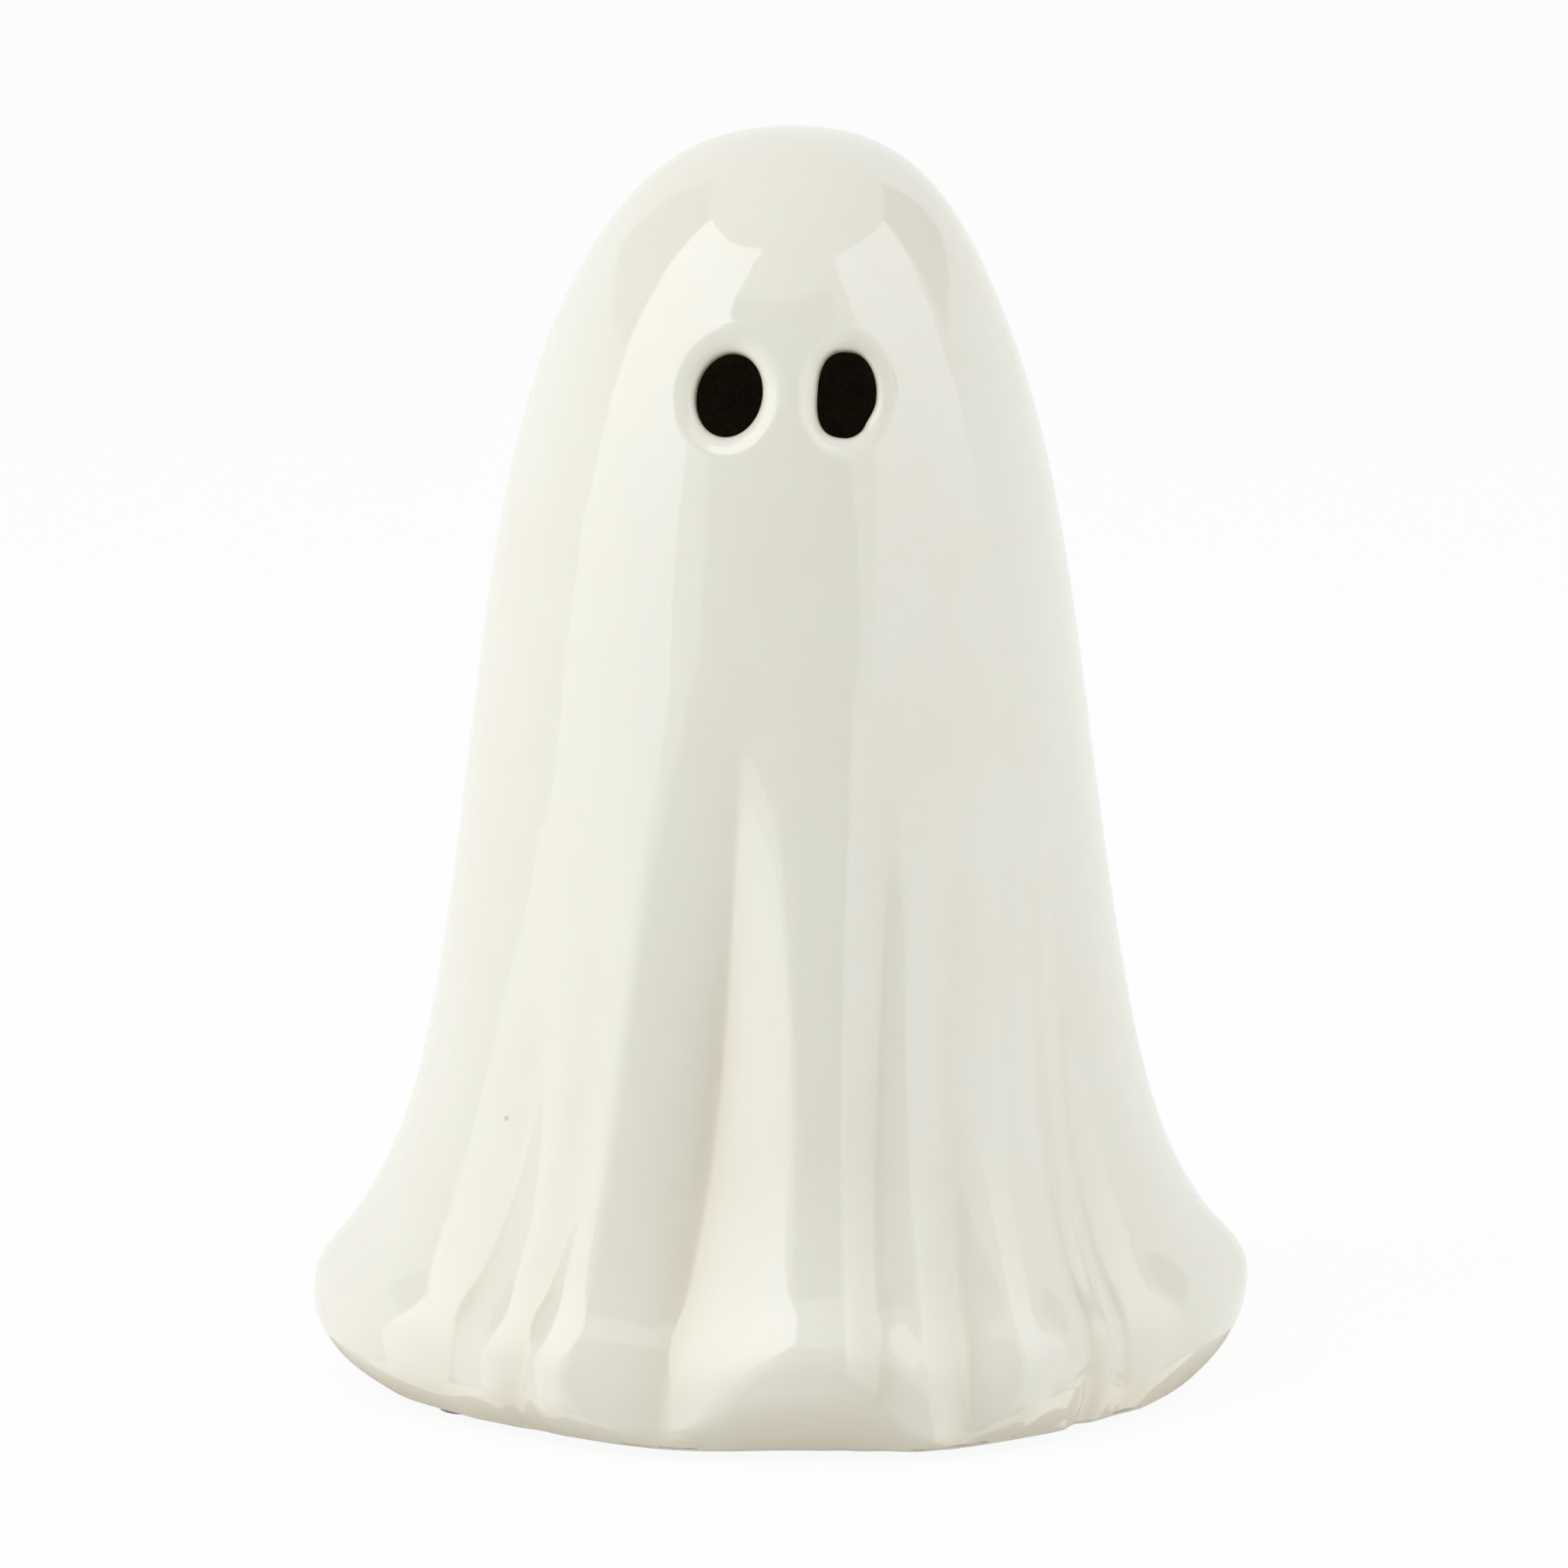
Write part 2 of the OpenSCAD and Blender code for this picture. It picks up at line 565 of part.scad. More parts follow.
// Tube along points p, with its rings square to the path
module tube(p, r, sides) {
    n = len(p);
    function along(i) = let (d = p[min(n - 1, i + 1)] - p[max(0, i - 1)]) d / norm(d);
    function side(i) =
        let (d = along(i), up = abs(d[2]) > 0.9 ? [1, 0, 0] : [0, 0, 1], s = cross(d, up)) s / norm(s);
    points = [for (i = [0:n - 1]) let (d = along(i), s = side(i), t = cross(s, d))
        for (k = [0:sides - 1]) p[i] + r * (s * cos(360 * k / sides) + t * sin(360 * k / sides))];
    faces = concat(
        [for (i = [0:n - 2], k = [0:sides - 1])
            each [[i * sides + k, i * sides + (k + 1) % sides, (i + 1) * sides + k],
                [i * sides + (k + 1) % sides, (i + 1) * sides + (k + 1) % sides, (i + 1) * sides + k]]],
        [[for (k = [sides - 1:-1:0]) k]],
        [[for (k = [0:sides - 1]) (n - 1) * sides + k]]);
    polyhedron(points, faces);
}

// Conical coil that stands on the YZ plane and winds towards +X
module coil() {
    rings = spring_turns * rings_per_turn;
    rise = spring_l - 2 * (wire_r + touch_gap);
    tube([for (i = [0:rings])
        let (t = i / rings, r = mix(spring_foot_r, spring_head_r, t), a = 360 * spring_turns * t)
        [wire_r + touch_gap + rise * t, r * cos(a), r * sin(a)]], wire_r, wire_sides);
}

module bridge_spring() {
    color("silver") translate([contact_t - tray_half_l, cell_y, cell_z]) coil();
}

module negative_spring() {
    color("silver") translate([tray_half_l - contact_t, -cell_y, cell_z]) rotate([0, 0, 180]) coil();
}

module battery_door() {
    color("white") difference() {
        union() {
            translate([door_start_x, -door_half_w, pad_t])
                cube([door_end_x - door_start_x, 2 * door_half_w, door_t]);
            translate([hinge_x, -hinge_half_w, pad_t]) cube([2 * hinge_sweep_r, 2 * hinge_half_w, door_t]);
            translate([hinge_x, 0, hinge_z]) rotate([90, 0, 0]) {
                cylinder(r = hinge_r, h = 2 * hinge_half_w, center = true, $fn = 48);
                cylinder(r = trunnion_r, h = 2 * (hinge_half_w + trunnion_l), center = true, $fn = 32);
            }
        }
        translate([door_screw_x, 0, pad_t - cut]) {
            cylinder(r = door_head_r + run_gap, h = door_head_h + cut, $fn = 32);
            cylinder(r = door_screw_r + run_gap, h = door_t + 2 * cut, $fn = 32);
        }
    }
}

module door_foam() {
    color("dimgray") translate([-foam_l / 2, -foam_w / 2, door_top])
        cube([foam_l, foam_w, cell_z - cell_r - door_top - soft_gap]);
}

module door_screw() {
    color("silver") translate([door_screw_x, 0, pad_t])
        screw(door_screw_r, door_screw_top - pad_t, door_head_r, door_head_h - thread_gap);
}

module circuit_board() {
    color("seagreen") difference() {
        translate([-board_half_l, board_y - board_half_w, board_z])
            cube([2 * board_half_l, 2 * board_half_w, board_t]);
        for (x = [-post_x, post_x]) translate([x, board_y, board_z - cut])
            cylinder(r = board_screw_r + run_gap, h = board_t + 2 * cut, $fn = 32);
    }
}

module board_screws() {
    color("silver") for (x = [-post_x, post_x])
        translate([x, board_y, board_top + screw_head_h]) rotate([180, 0, 0])
            screw(board_screw_r - thread_gap, board_t + board_screw_l, post_r - run_gap, screw_head_h);
}

module timer_chip() {
    color("black") translate([chip_x - chip_size[0] / 2, board_y - chip_size[1] / 2, board_top])
        cube(chip_size);
}

module drive_resistor() {
    color("black") translate([resistor_x - resistor_size[0] / 2, board_y - resistor_size[1] / 2, board_top])
        cube(resistor_size);
}

module switch_case() {
    reach = switch_travel / 2 + soft_gap;
    color("silver") difference() {
        translate([-case_half_l, board_y - case_half_w, plate_z])
            cube([2 * case_half_l, 2 * case_half_w, case_h]);
        translate([-knob_half_l - reach, board_y - knob_half_w - soft_gap, plate_z - cut])
            cube([2 * (knob_half_l + reach), 2 * (knob_half_w + soft_gap), case_h / 2 + cut]);
        translate([-flange_half_l - reach, board_y - flange_half_w - soft_gap, flange_z - soft_gap])
            cube([2 * (flange_half_l + reach), 2 * (flange_half_w + soft_gap), flange_t + 2 * soft_gap]);
    }
}

module switch_slider() {
    color("black") translate([-switch_travel / 2, board_y, 0]) {
        translate([-knob_half_l, -knob_half_w, pad_t + knob_tip])
            cube([2 * knob_half_l, 2 * knob_half_w, flange_z + flange_t - pad_t - knob_tip]);
        translate([-flange_half_l, -flange_half_w, flange_z])
            cube([2 * flange_half_l, 2 * flange_half_w, flange_t]);
    }
}

module lamp_board() {
    color("seagreen") translate([0, 0, tray_top]) cylinder(r = lamp_board_r, h = lamp_board_t, $fn = 48);
}

module led_lamp() {
    color("lightyellow") translate([0, 0, lamp_board_top]) {
        cylinder(r = led_flange_r, h = led_flange_h, $fn = 32);
        cylinder(r = led_r, h = led_h, $fn = 32);
        translate([0, 0, led_h]) sphere(r = led_r, $fn = 32);
    }
}

module lens_dome() {
    shoulder = lens_h - lens_r + mould_t;
    color("whitesmoke") translate([0, 0, lens_z]) difference() {
        union() {
            cylinder(r = lens_r + lens_flange_w, h = lens_flange_t, $fn = 64);
            cylinder(r = lens_r, h = lens_flange_t + shoulder, $fn = 64);
            translate([0, 0, lens_flange_t + shoulder]) sphere(r = lens_r, $fn = 64);
        }
        translate([0, 0, -cut]) cylinder(r = lens_r - lens_t, h = cut + lens_flange_t + shoulder, $fn = 64);
        translate([0, 0, lens_flange_t + shoulder]) sphere(r = lens_r - lens_t, $fn = 64);
        translate([0, 0, -2 * lens_r]) cube(4 * lens_r, center = true);
    }
}

// Lead from its start, over the tray along the route, down the drop to the circuit board at x
module lead(start, route, x) {
    drop = [for (d = drop_shares)
        [x, mix(lead_side_y, lead_end_y, d[0]), mix(lead_z, lead_end_z, d[1])]];
    tube(concat([start], route, drop), lead_r, lead_sides);
}

module battery_lead_red() {
    color("red") lead([contact_x - lead_r - touch_gap, cell_y, lead_z],
        [for (p = red_route_shares) [p[0] * contact_x, p[1] * lead_side_y, lead_z]], red_lead_x);
}

module battery_lead_black() {
    color("black") lead([contact_x - lead_r - touch_gap, -cell_y, lead_z],
        [for (p = black_route_shares) [p[0] * contact_x, p[1] * lead_side_y, lead_z]], black_lead_x);
}

module lamp_lead_red() {
    color("red") lead([-lamp_lead_x, lamp_board_r + lead_r, lead_z],
        [for (y = lamp_route_shares) [-lamp_lead_x, y * lead_side_y, lead_z]], -lamp_lead_x);
}

module lamp_lead_black() {
    color("black") lead([lamp_lead_x, lamp_board_r + lead_r, lead_z],
        [for (y = lamp_route_shares) [lamp_lead_x, y * lead_side_y, lead_z]], lamp_lead_x);
}

ghost_shell();
foot_pads();
base_collar();
base_plate();
tub_housing();
housing_screws();
battery_tray();
battery_cell_front();
battery_cell_rear();
bridge_contact();
bridge_spring();
positive_contact();
negative_contact();
negative_spring();
battery_door();
door_foam();
door_screw();
circuit_board();
board_screws();
timer_chip();
drive_resistor();
switch_case();
switch_slider();
lamp_board();
led_lamp();
lens_dome();
battery_lead_red();
battery_lead_black();
lamp_lead_red();
lamp_lead_black();
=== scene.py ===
import logging
import math
from collections.abc import Sequence
from dataclasses import dataclass
from enum import Enum

import bpy
import numpy as np
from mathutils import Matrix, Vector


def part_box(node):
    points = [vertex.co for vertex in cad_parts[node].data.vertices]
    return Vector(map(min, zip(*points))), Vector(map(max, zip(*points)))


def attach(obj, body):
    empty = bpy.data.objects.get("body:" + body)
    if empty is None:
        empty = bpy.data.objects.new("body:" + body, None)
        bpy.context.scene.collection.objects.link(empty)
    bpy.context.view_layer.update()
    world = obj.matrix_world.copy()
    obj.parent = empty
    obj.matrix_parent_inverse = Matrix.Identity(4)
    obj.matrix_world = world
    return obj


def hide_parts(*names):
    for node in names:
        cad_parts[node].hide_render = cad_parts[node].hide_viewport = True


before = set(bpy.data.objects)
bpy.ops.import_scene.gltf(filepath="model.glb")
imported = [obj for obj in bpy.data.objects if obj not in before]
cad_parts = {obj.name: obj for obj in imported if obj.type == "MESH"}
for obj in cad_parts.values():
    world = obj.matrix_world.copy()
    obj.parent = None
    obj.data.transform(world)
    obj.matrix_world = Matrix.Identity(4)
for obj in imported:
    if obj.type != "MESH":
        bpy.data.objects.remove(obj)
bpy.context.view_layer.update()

log = logging.getLogger("ghost_figure")

MM = 0.001
Array = np.ndarray
Colour = tuple[float, float, float]


class Body(Enum):
    """The moving bodies that pieces ride on."""

    GHOST = "ghost"
    UNIT = "light_unit"
    DOOR = "battery_door"
    SCREW = "door_screw"
    SWITCH = "switch_slider"


class Side(Enum):
    """Which eye: the left one or the right one, as the viewer sees them."""

    LEFT = -1
    RIGHT = 1


# Meshes


def make_mesh(name: str, points: Array, quads: Array, triangles: Array | None = None) -> bpy.types.Object:
    """Puts arrays of points and faces into a new object with smooth shading.

    Args:
        name: name of the object.
        points: (n, 3) places in millimetres, in the frame of the part.
        quads: (m, 4) indices of the points of each four-sided face.
        triangles: (k, 3) indices of the points of each three-sided face.

    Returns:
        The linked object, at the origin, unturned and unscaled.
    """
    triangles = np.zeros((0, 3), int) if triangles is None else triangles
    loops = np.concatenate([quads.ravel(), triangles.ravel()]).astype(np.int32)
    sizes = np.concatenate([np.full(len(quads), 4), np.full(len(triangles), 3)]).astype(np.int32)
    starts = np.concatenate([[0], np.cumsum(sizes)[:-1]]).astype(np.int32)
    mesh = bpy.data.meshes.new(name)
    mesh.vertices.add(len(points))
    mesh.vertices.foreach_set("co", np.ascontiguousarray(points * MM, np.float32).ravel())
    mesh.loops.add(len(loops))
    mesh.loops.foreach_set("vertex_index", loops)
    mesh.polygons.add(len(sizes))
    mesh.polygons.foreach_set("loop_start", starts)
    mesh.polygons.foreach_set("use_smooth", np.ones(len(sizes), bool))
    mesh.update(calc_edges=True)
    mesh.validate()
    piece = bpy.data.objects.new(name, mesh)
    bpy.context.scene.collection.objects.link(piece)
    return piece


def point_attribute(piece: bpy.types.Object, name: str, values: Array) -> None:
    """Writes one value per point of a piece, for its material to read."""
    layer = piece.data.attributes.new(name, "FLOAT", "POINT")
    layer.data.foreach_set("value", np.ascontiguousarray(values, np.float32))


def grid_quads(rows: int, columns: int, first: int = 0, closed: bool = True) -> Array:
    """Faces of a grid of points whose rows close round on themselves if closed is true.

    Args:
        rows: number of rows of points.
        columns: number of points in a row.
        first: index of the grid's first point.
        closed: whether the last column joins the first.

    Returns:
        (m, 4) indices: down a row, then on to the next column, then up again.
    """
    i, c = np.meshgrid(np.arange(rows - 1), np.arange(columns if closed else columns - 1), indexing="ij")
    right = (c + 1) % columns
    quads = np.stack([i * columns + c, (i + 1) * columns + c, (i + 1) * columns + right, i * columns + right], -1)
    return first + quads.reshape(-1, 4)


def turned_piece(name: str, profile: Sequence[tuple[float, float]], centre: tuple[float, float, float],
                 axis: tuple[float, float, float] = (0.0, 0.0, 1.0), columns: int = 64) -> bpy.types.Object:
    """A closed turned solid: each profile point swept once round the axis.

    A point (r, h) becomes centre + h * axis + r * (cos t * u + sin t * v), with u and v square to the axis.

    Args:
        name: name of the object.
        profile: radius and height of each point, from the bottom of the axis to its top.
        centre: where height zero lies on the axis.
        axis: direction of the axis.
        columns: number of points in a turn.

    Returns:
        The object.
    """
    path = np.array(profile, float)
    w = np.array(axis, float) / np.linalg.norm(axis)
    helper = np.array([1.0, 0.0, 0.0]) if abs(w[2]) > 0.9 else np.array([0.0, 0.0, 1.0])
    u = np.cross(helper, w)
    u /= np.linalg.norm(u)
    v = np.cross(w, u)
    t = np.linspace(0, 2 * np.pi, columns, endpoint=False)
    ring = np.cos(t)[:, None] * u + np.sin(t)[:, None] * v
    points = np.array(centre) + path[:, None, 1:] * w + path[:, None, :1] * ring
    rows = len(path)
    ends = np.array(centre) + path[[0, -1], 1][:, None] * w
    points = np.concatenate([points.reshape(-1, 3), ends])
    c = np.arange(columns)
    after = (c + 1) % columns
    low = np.stack([np.full(columns, rows * columns), after, c], -1)
    top = (rows - 1) * columns
    high = np.stack([np.full(columns, rows * columns + 1), top + c, top + after], -1)
    quads = grid_quads(rows, columns)[:, ::-1]
    return make_mesh(name, points, quads, np.concatenate([low, high]))


def smooth_path(knots: Array, steps: int) -> Array:
    """Catmull-Rom curve through the knots, steps points from each knot to the next.

    Args:
        knots: (n, 3) places that the curve passes.
        steps: points per span.

    Returns:
        (n', 3) places along the curve, both ends among them.
    """
    k = np.concatenate([2 * knots[:1] - knots[1:2], knots, 2 * knots[-1:] - knots[-2:-1]])
    t = np.linspace(0, 1, steps, endpoint=False)[None, :, None]
    a, b, c, d = (k[i:len(k) - 3 + i, None, :] for i in range(4))
    spans = 0.5 * (2 * b + (c - a) * t + (2 * a - 5 * b + 4 * c - d) * t**2 + (3 * b - a - 3 * c + d) * t**3)
    return np.concatenate([spans.reshape(-1, 3), knots[-1:]])


def tube_piece(name: str, path: Array, radius: float, sides: int = 12) -> bpy.types.Object:
    """A round tube along a path, closed at both ends by shallow domes.

    The frame of a ring is turned from the last one by the least turn that follows the path's direction,
    worked out as the cross product of neighbouring directions.

    Args:
        name: name of the object.
        path: (n, 3) places of the tube's middle.
        radius: radius of the tube.
        sides: points in a ring.

    Returns:
        The object.
    """
    along = np.gradient(path, axis=0)
    along /= np.linalg.norm(along, axis=1, keepdims=True)
    side = np.cross(along, np.where(np.abs(along[:, 2:]) > 0.9, [[1.0, 0.0, 0.0]], [[0.0, 0.0, 1.0]]))
    side /= np.linalg.norm(side, axis=1, keepdims=True)
    up = np.cross(side, along)
    t = np.linspace(0, 2 * np.pi, sides, endpoint=False)
    ring = np.cos(t)[None, :, None] * side[:, None] + np.sin(t)[None, :, None] * up[:, None]
    body = path[:, None] + radius * ring
    lift = 0.35 * radius
    first = path[0] - lift * along[0] + 0.7 * radius * ring[:1]
    last = path[-1] + lift * along[-1] + 0.7 * radius * ring[-1:]
    rings = np.concatenate([first, body, last])
    tips = np.stack([path[0] - 1.25 * lift * along[0], path[-1] + 1.25 * lift * along[-1]])
    rows = len(rings)
    points = np.concatenate([rings.reshape(-1, 3), tips])
    c = np.arange(sides)
    after = (c + 1) % sides
    low = np.stack([np.full(sides, rows * sides), c, after], -1)
    high = np.stack([np.full(sides, rows * sides + 1), (rows - 1) * sides + after, (rows - 1) * sides + c], -1)
    return make_mesh(name, points, grid_quads(rows, sides), np.concatenate([low, high]))


def cushion_box(name: str, low: Array, high: Array, edge: float, bulge: float = 0.0) -> bpy.types.Object:
    """A block with rounded edges and slightly bulging faces.

    A cube's surface grid is pushed out along the superellipsoid |x|^p + |y|^p + |z|^p = 1 measured inside the
    rounded margin, so that each point is the nearest point of an inner block plus the edge radius.

    Args:
        name: name of the object.
        low: lowest corner.
        high: highest corner.
        edge: radius of the rounded edges.
        bulge: how far the middle of the larger faces stands out.

    Returns:
        The object.
    """
    n = 12
    s = np.sin(np.linspace(-np.pi / 2, np.pi / 2, n))
    a, b = np.meshgrid(s, s, indexing="ij")
    faces, index = [], []
    for axis in range(3):
        for sign in (-1.0, 1.0):
            block = np.empty((n, n, 3))
            block[..., axis] = sign
            block[..., (axis + 1) % 3] = a
            block[..., (axis + 2) % 3] = b
            quads = grid_quads(n, n, first=len(faces) * n * n, closed=False)
            index.append(quads if sign > 0 else quads[:, ::-1])
            faces.append(block.reshape(-1, 3))
    unit = np.concatenate(faces)
    half = (high - low) / 2
    core = np.clip(unit * half, edge - half, half - edge)
    away = unit * half - core
    size = np.linalg.norm(away, axis=1, keepdims=True)
    points = core + edge * away / np.maximum(size, 1e-9)
    swell = np.prod(1 - np.abs(points[:, :2] / half[:2]) ** 4, axis=1)
    points[:, 2] += np.sign(points[:, 2]) * bulge * swell
    piece = make_mesh(name, points + (low + high) / 2, np.concatenate(index))
    weld = piece.modifiers.new("weld", "WELD")
    weld.merge_threshold = 1e-6
    return piece


# The ghost's form


FOLDS = np.array([
    [-90, -90, -90, 0.03, -0.07, 0, 1.05, 1.015, 14], [-64, -62, -60, -0.1, -0.12, -0.05, 0.8, 1, 8],
    [-49, -47, -46, -0.6, -0.5, -0.05, 0.7, 0.97, 4], [-41, -40, -38, -0.5, -0.5, -0.08, 0.8, 0.955, 3],
    [-36, -35, -33, -0.62, -0.56, -0.03, 0.85, 0.945, 2.5], [-31.5, -29.2, -20, -0.45, -0.58, 0.1, 0.75, 0.95, 3],
    [-16.5, -11.6, -7.5, -0.8, -1.4, 0, 0.45, 0.965, 2.2], [1.5, 2.6, -2, -0.48, -0.2, 0.15, 1.2, 0.935, 2],
    [8, 9.8, 13, -0.46, -0.2, 0.15, 1.2, 0.945, 2], [12.5, 15.6, 20, -0.6, -0.4, 0, 0.9, 0.965, 2],
    [19.6, 21.3, 26, -0.46, -0.26, 0.02, 0.45, 1, 2], [24, 28.5, 36, -0.6, -0.45, -0.03, 0.5, 1.005, 2.2],
    [33, 36.5, 40, -0.3, -0.24, -0.1, 0.75, 1, 2.2], [40.5, 45.5, 48, -0.44, -0.42, -0.1, 0.9, 1.005, 2],
    [44, 49.5, 51, -0.58, -0.48, -0.1, 0.95, 1.01, 1.6], [47, 52, 54, -0.48, -0.44, -0.1, 0.85, 1.015, 1.6],
    [51, 56, 60, -0.56, -0.48, -0.1, 0.65, 1.02, 2.5], [67, 68, 70, -0.12, -0.16, -0.05, 0.95, 1.015, 7],
    [90, 90, 90, 0.03, 0.06, 0, 1.25, 1.015, 10], [105, 104, 103, -0.5, -0.5, 0, 0.6, 0.98, 5],
    [121, 120, 119, -0.05, -0.1, 0, 1, 1, 8], [137, 138, 139, -0.55, -0.6, 0, 0.5, 0.98, 5],
    [152, 153, 155, -0.1, -0.2, 0, 0.8, 1, 6], [166, 165, 164, -0.75, -0.6, 0, 0.5, 0.975, 5],
    [182, 181, 181, -0.38, -0.1, 0, 1.1, 0.98, 8], [200, 201, 201, -0.8, -0.8, 0, 0.5, 0.975, 5],
    [222, 221, 221, -0.05, 0, 0, 1.1, 1, 8], [236, 237, 238, -0.55, -0.6, 0, 0.5, 0.98, 5],
    [248, 247, 246, -0.1, -0.1, 0, 0.95, 1, 5], [257, 256, 255, -0.3, -0.3, 0, 0.75, 1.01, 4],
])
PROFILE = np.array([
    [0.982, -0.030], [1, 0], [0.998, 0.031], [0.920, 0.063], [0.864, 0.102],
    [0.808, 0.150], [0.761, 0.216], [0.716, 0.313], [0.677, 0.420], [0.642, 0.528],
    [0.607, 0.630], [0.566, 0.720], [0.514, 0.797], [0.451, 0.863], [0.370, 0.924],
    [0.265, 0.973], [0.116, 1.002], [-0.116, 1.002], [-0.265, 0.973],
])


def spline(steer: Array, s: Array) -> tuple[Array, Array]:
    """Uniform cubic B-spline that the points steer, and its slope.

    Args:
        steer: (n, 2) steering points.
        s: places along the curve, counted in steering points.

    Returns:
        (len(s), 2) points and (len(s), 2) slopes: each point is the sum of four steering points with the
        cubic weights (1-t)^3, 3t^3-6t^2+4, -3t^3+3t^2+3t+1 and t^3, over six.
    """
    i = np.floor(s).astype(int)
    t = (s - i)[:, None]
    a, b, c, d = steer[i - 1], steer[i], steer[i + 1], steer[i + 2]
    point = ((1 - t)**3 * a + (3 * t**3 - 6 * t**2 + 4) * b + (-3 * t**3 + 3 * t**2 + 3 * t + 1) * c + t**3 * d) / 6
    slope = (-(1 - t)**2 * a + (3 * t**2 - 4 * t) * b + (-3 * t**2 + 2 * t + 1) * c + t**2 * d) / 2
    return point, slope


@dataclass(frozen=True)
class SheetForm:
    """Form of the thrown sheet, in millimetres: a body of revolution with folds that die out upwards."""

    height: float = 178.0
    hem_radius: float = 67.5
    hem_height: float = 10.0
    foot_radius: float = 60.0
    fold_depth: float = 10.0
    fold_height: float = 100.0
    hem_blend: float = 26.0
    crown_sway: float = 1.6
    sway_share: float = 0.82
    wall: float = 4.2
    pad: float = 1.2
    tuck: float = 0.3
    mid: float = 0.36
    steps: int = 10
    inner_soft: float = 8.0
    lead: int = 5
    # Painted shade in creases and deep valleys, partly glaze pooling: how strongly a crease's bend, and depth below
    # shade_pool_depth, darken the glaze tint.
    shade_pool_bend: float = 1.1
    shade_pool_depth: float = 4.5
    shade_pool_fill: float = 0.12

    @property
    def steer(self) -> Array:
        """Steering points of the profile: radius and height."""
        rise = self.height - self.hem_height
        return np.stack([PROFILE[:, 0] * self.hem_radius, self.hem_height + PROFILE[:, 1] * rise], 1)

    @property
    def last(self) -> float:
        """Place of the crown along the profile."""
        return len(PROFILE) - 2.5

    @property
    def columns(self) -> int:
        """Columns of points in a full turn."""
        return len(FOLDS) * self.steps

    def lines(self, z: Array) -> tuple[Array, Array]:
        """Azimuth and depth of every fold line at heights z.

        The azimuth is the parabola through the table's three azimuths, and the depth is d0 (1-u)^3 +
        3 d1 u (1-u)^2 + 3 d2 u^2 (1-u), where u climbs from 0 at the hem to 1 where the folds end.

        Args:
            z: (rows,) heights.

        Returns:
            (rows, n) azimuths in degrees and (rows, n) depths, with neighbours past both ends of the turn.
        """
        k = np.arange(-self.lead, len(FOLDS) + self.lead + 1)
        f = FOLDS[k % len(FOLDS)]
        turn = 360 * np.floor(k / len(FOLDS))
        u = np.clip((z - self.hem_height) / self.fold_height, 0, 1)[:, None]
        bend = ((f[:, 2] - f[:, 0]) * self.mid - (f[:, 1] - f[:, 0])) / (self.mid * (1 - self.mid))
        azimuth = turn + f[:, 0] + (f[:, 2] - f[:, 0] - bend) * u + bend * u * u
        depth = (1 - u)**3 * f[:, 3] + 3 * u * (1 - u)**2 * f[:, 4] + 3 * u * u * (1 - u) * f[:, 5]
        return azimuth, self.fold_depth * depth

    def surface(self, z: Array, soft: float = 0.0) -> tuple[Array, Array, Array]:
        """Azimuth and depth of the sheet at each column of points, and the painted shade in its creases, at heights z.

        From line to line the depth runs straight, and each line k adds c_k (w - d)^3 / (6 w^2) within its
        rounding angle w, where c_k is its change of slope and d the angle from it. Painted shade, a darker glaze
        tint that stands for both glaze pooling and the shade that falls in the creases, grows in each crease as
        the square of 1 - d / 3w, times the crease's share of shade_pool_bend, and evenly where the sheet lies
        deeper than shade_pool_depth.

        Args:
            z: (rows,) heights.
            soft: least rounding angle, in degrees.

        Returns:
            (rows, columns) azimuths in degrees, (rows, columns) depths and (rows, columns) shares of painted shade from
            0 to 1.
        """
        azimuth, depth = self.lines(z)
        slope = np.diff(depth, axis=1) / np.diff(azimuth, axis=1)
        k = self.lead + np.repeat(np.arange(len(FOLDS)), self.steps)
        t = np.tile(np.arange(self.steps) / self.steps, len(FOLDS))
        a = azimuth[:, k] + (azimuth[:, k + 1] - azimuth[:, k]) * t
        out = depth[:, k] + slope[:, k] * (a - azimuth[:, k])
        # Painted shade: share of a darker glaze tint in the creases and deep valleys, partly glaze pooling, partly the
        # shade there.
        pool_shade = np.zeros_like(out)
        width = np.maximum(soft, FOLDS[np.arange(-self.lead, len(FOLDS) + self.lead + 1) % len(FOLDS), 8])
        for step in range(-3, 5):
            j = k + step
            bend = slope[:, j] - slope[:, j - 1]
            away = np.abs(a - azimuth[:, j])
            out = out + bend * np.clip(width[j] - away, 0, None)**3 / (6 * width[j]**2)
            pool_shade += np.clip(bend / self.shade_pool_bend, 0, 1) * np.square(np.clip(1 - away / (3 * width[j]), 0, 1))
        pool_shade += self.shade_pool_fill * np.clip(-out - self.shade_pool_depth, 0, 6)
        return a, out, np.clip(pool_shade, 0, 1)

    def eased(self, column: int) -> Array:
        """A column of the table at each column of points at the hem, eased from line to line by a half cosine.

        Args:
            column: which column of the table.

        Returns:
            (columns,) values.
        """
        k = np.repeat(np.arange(len(FOLDS)), self.steps)
        t = np.tile(np.arange(self.steps) / self.steps, len(FOLDS))
        values = FOLDS[:, column]
        return values[k] + (np.roll(values, -1)[k] - values[k]) * (1 - np.cos(np.pi * t)) / 2

    def drop(self, z: Array) -> Array:
        """How far the turned hem pulls the sheet down at heights z, at each column: (rows, columns)."""
        low = self.hem_height * (1 - self.eased(6))
        return low * np.square(1 - np.clip((z - self.hem_height) / self.hem_blend, 0, 1))[:, None]

    def sway(self, z: Array) -> Array:
        """How far the body stands to the right at heights z of the profile: it grows with the square above the eyes."""
        t = np.clip((z / self.height - self.sway_share) / (1 - self.sway_share), 0, 1)
        return np.stack([self.crown_sway * t * t, 0 * t, 0 * t], -1)

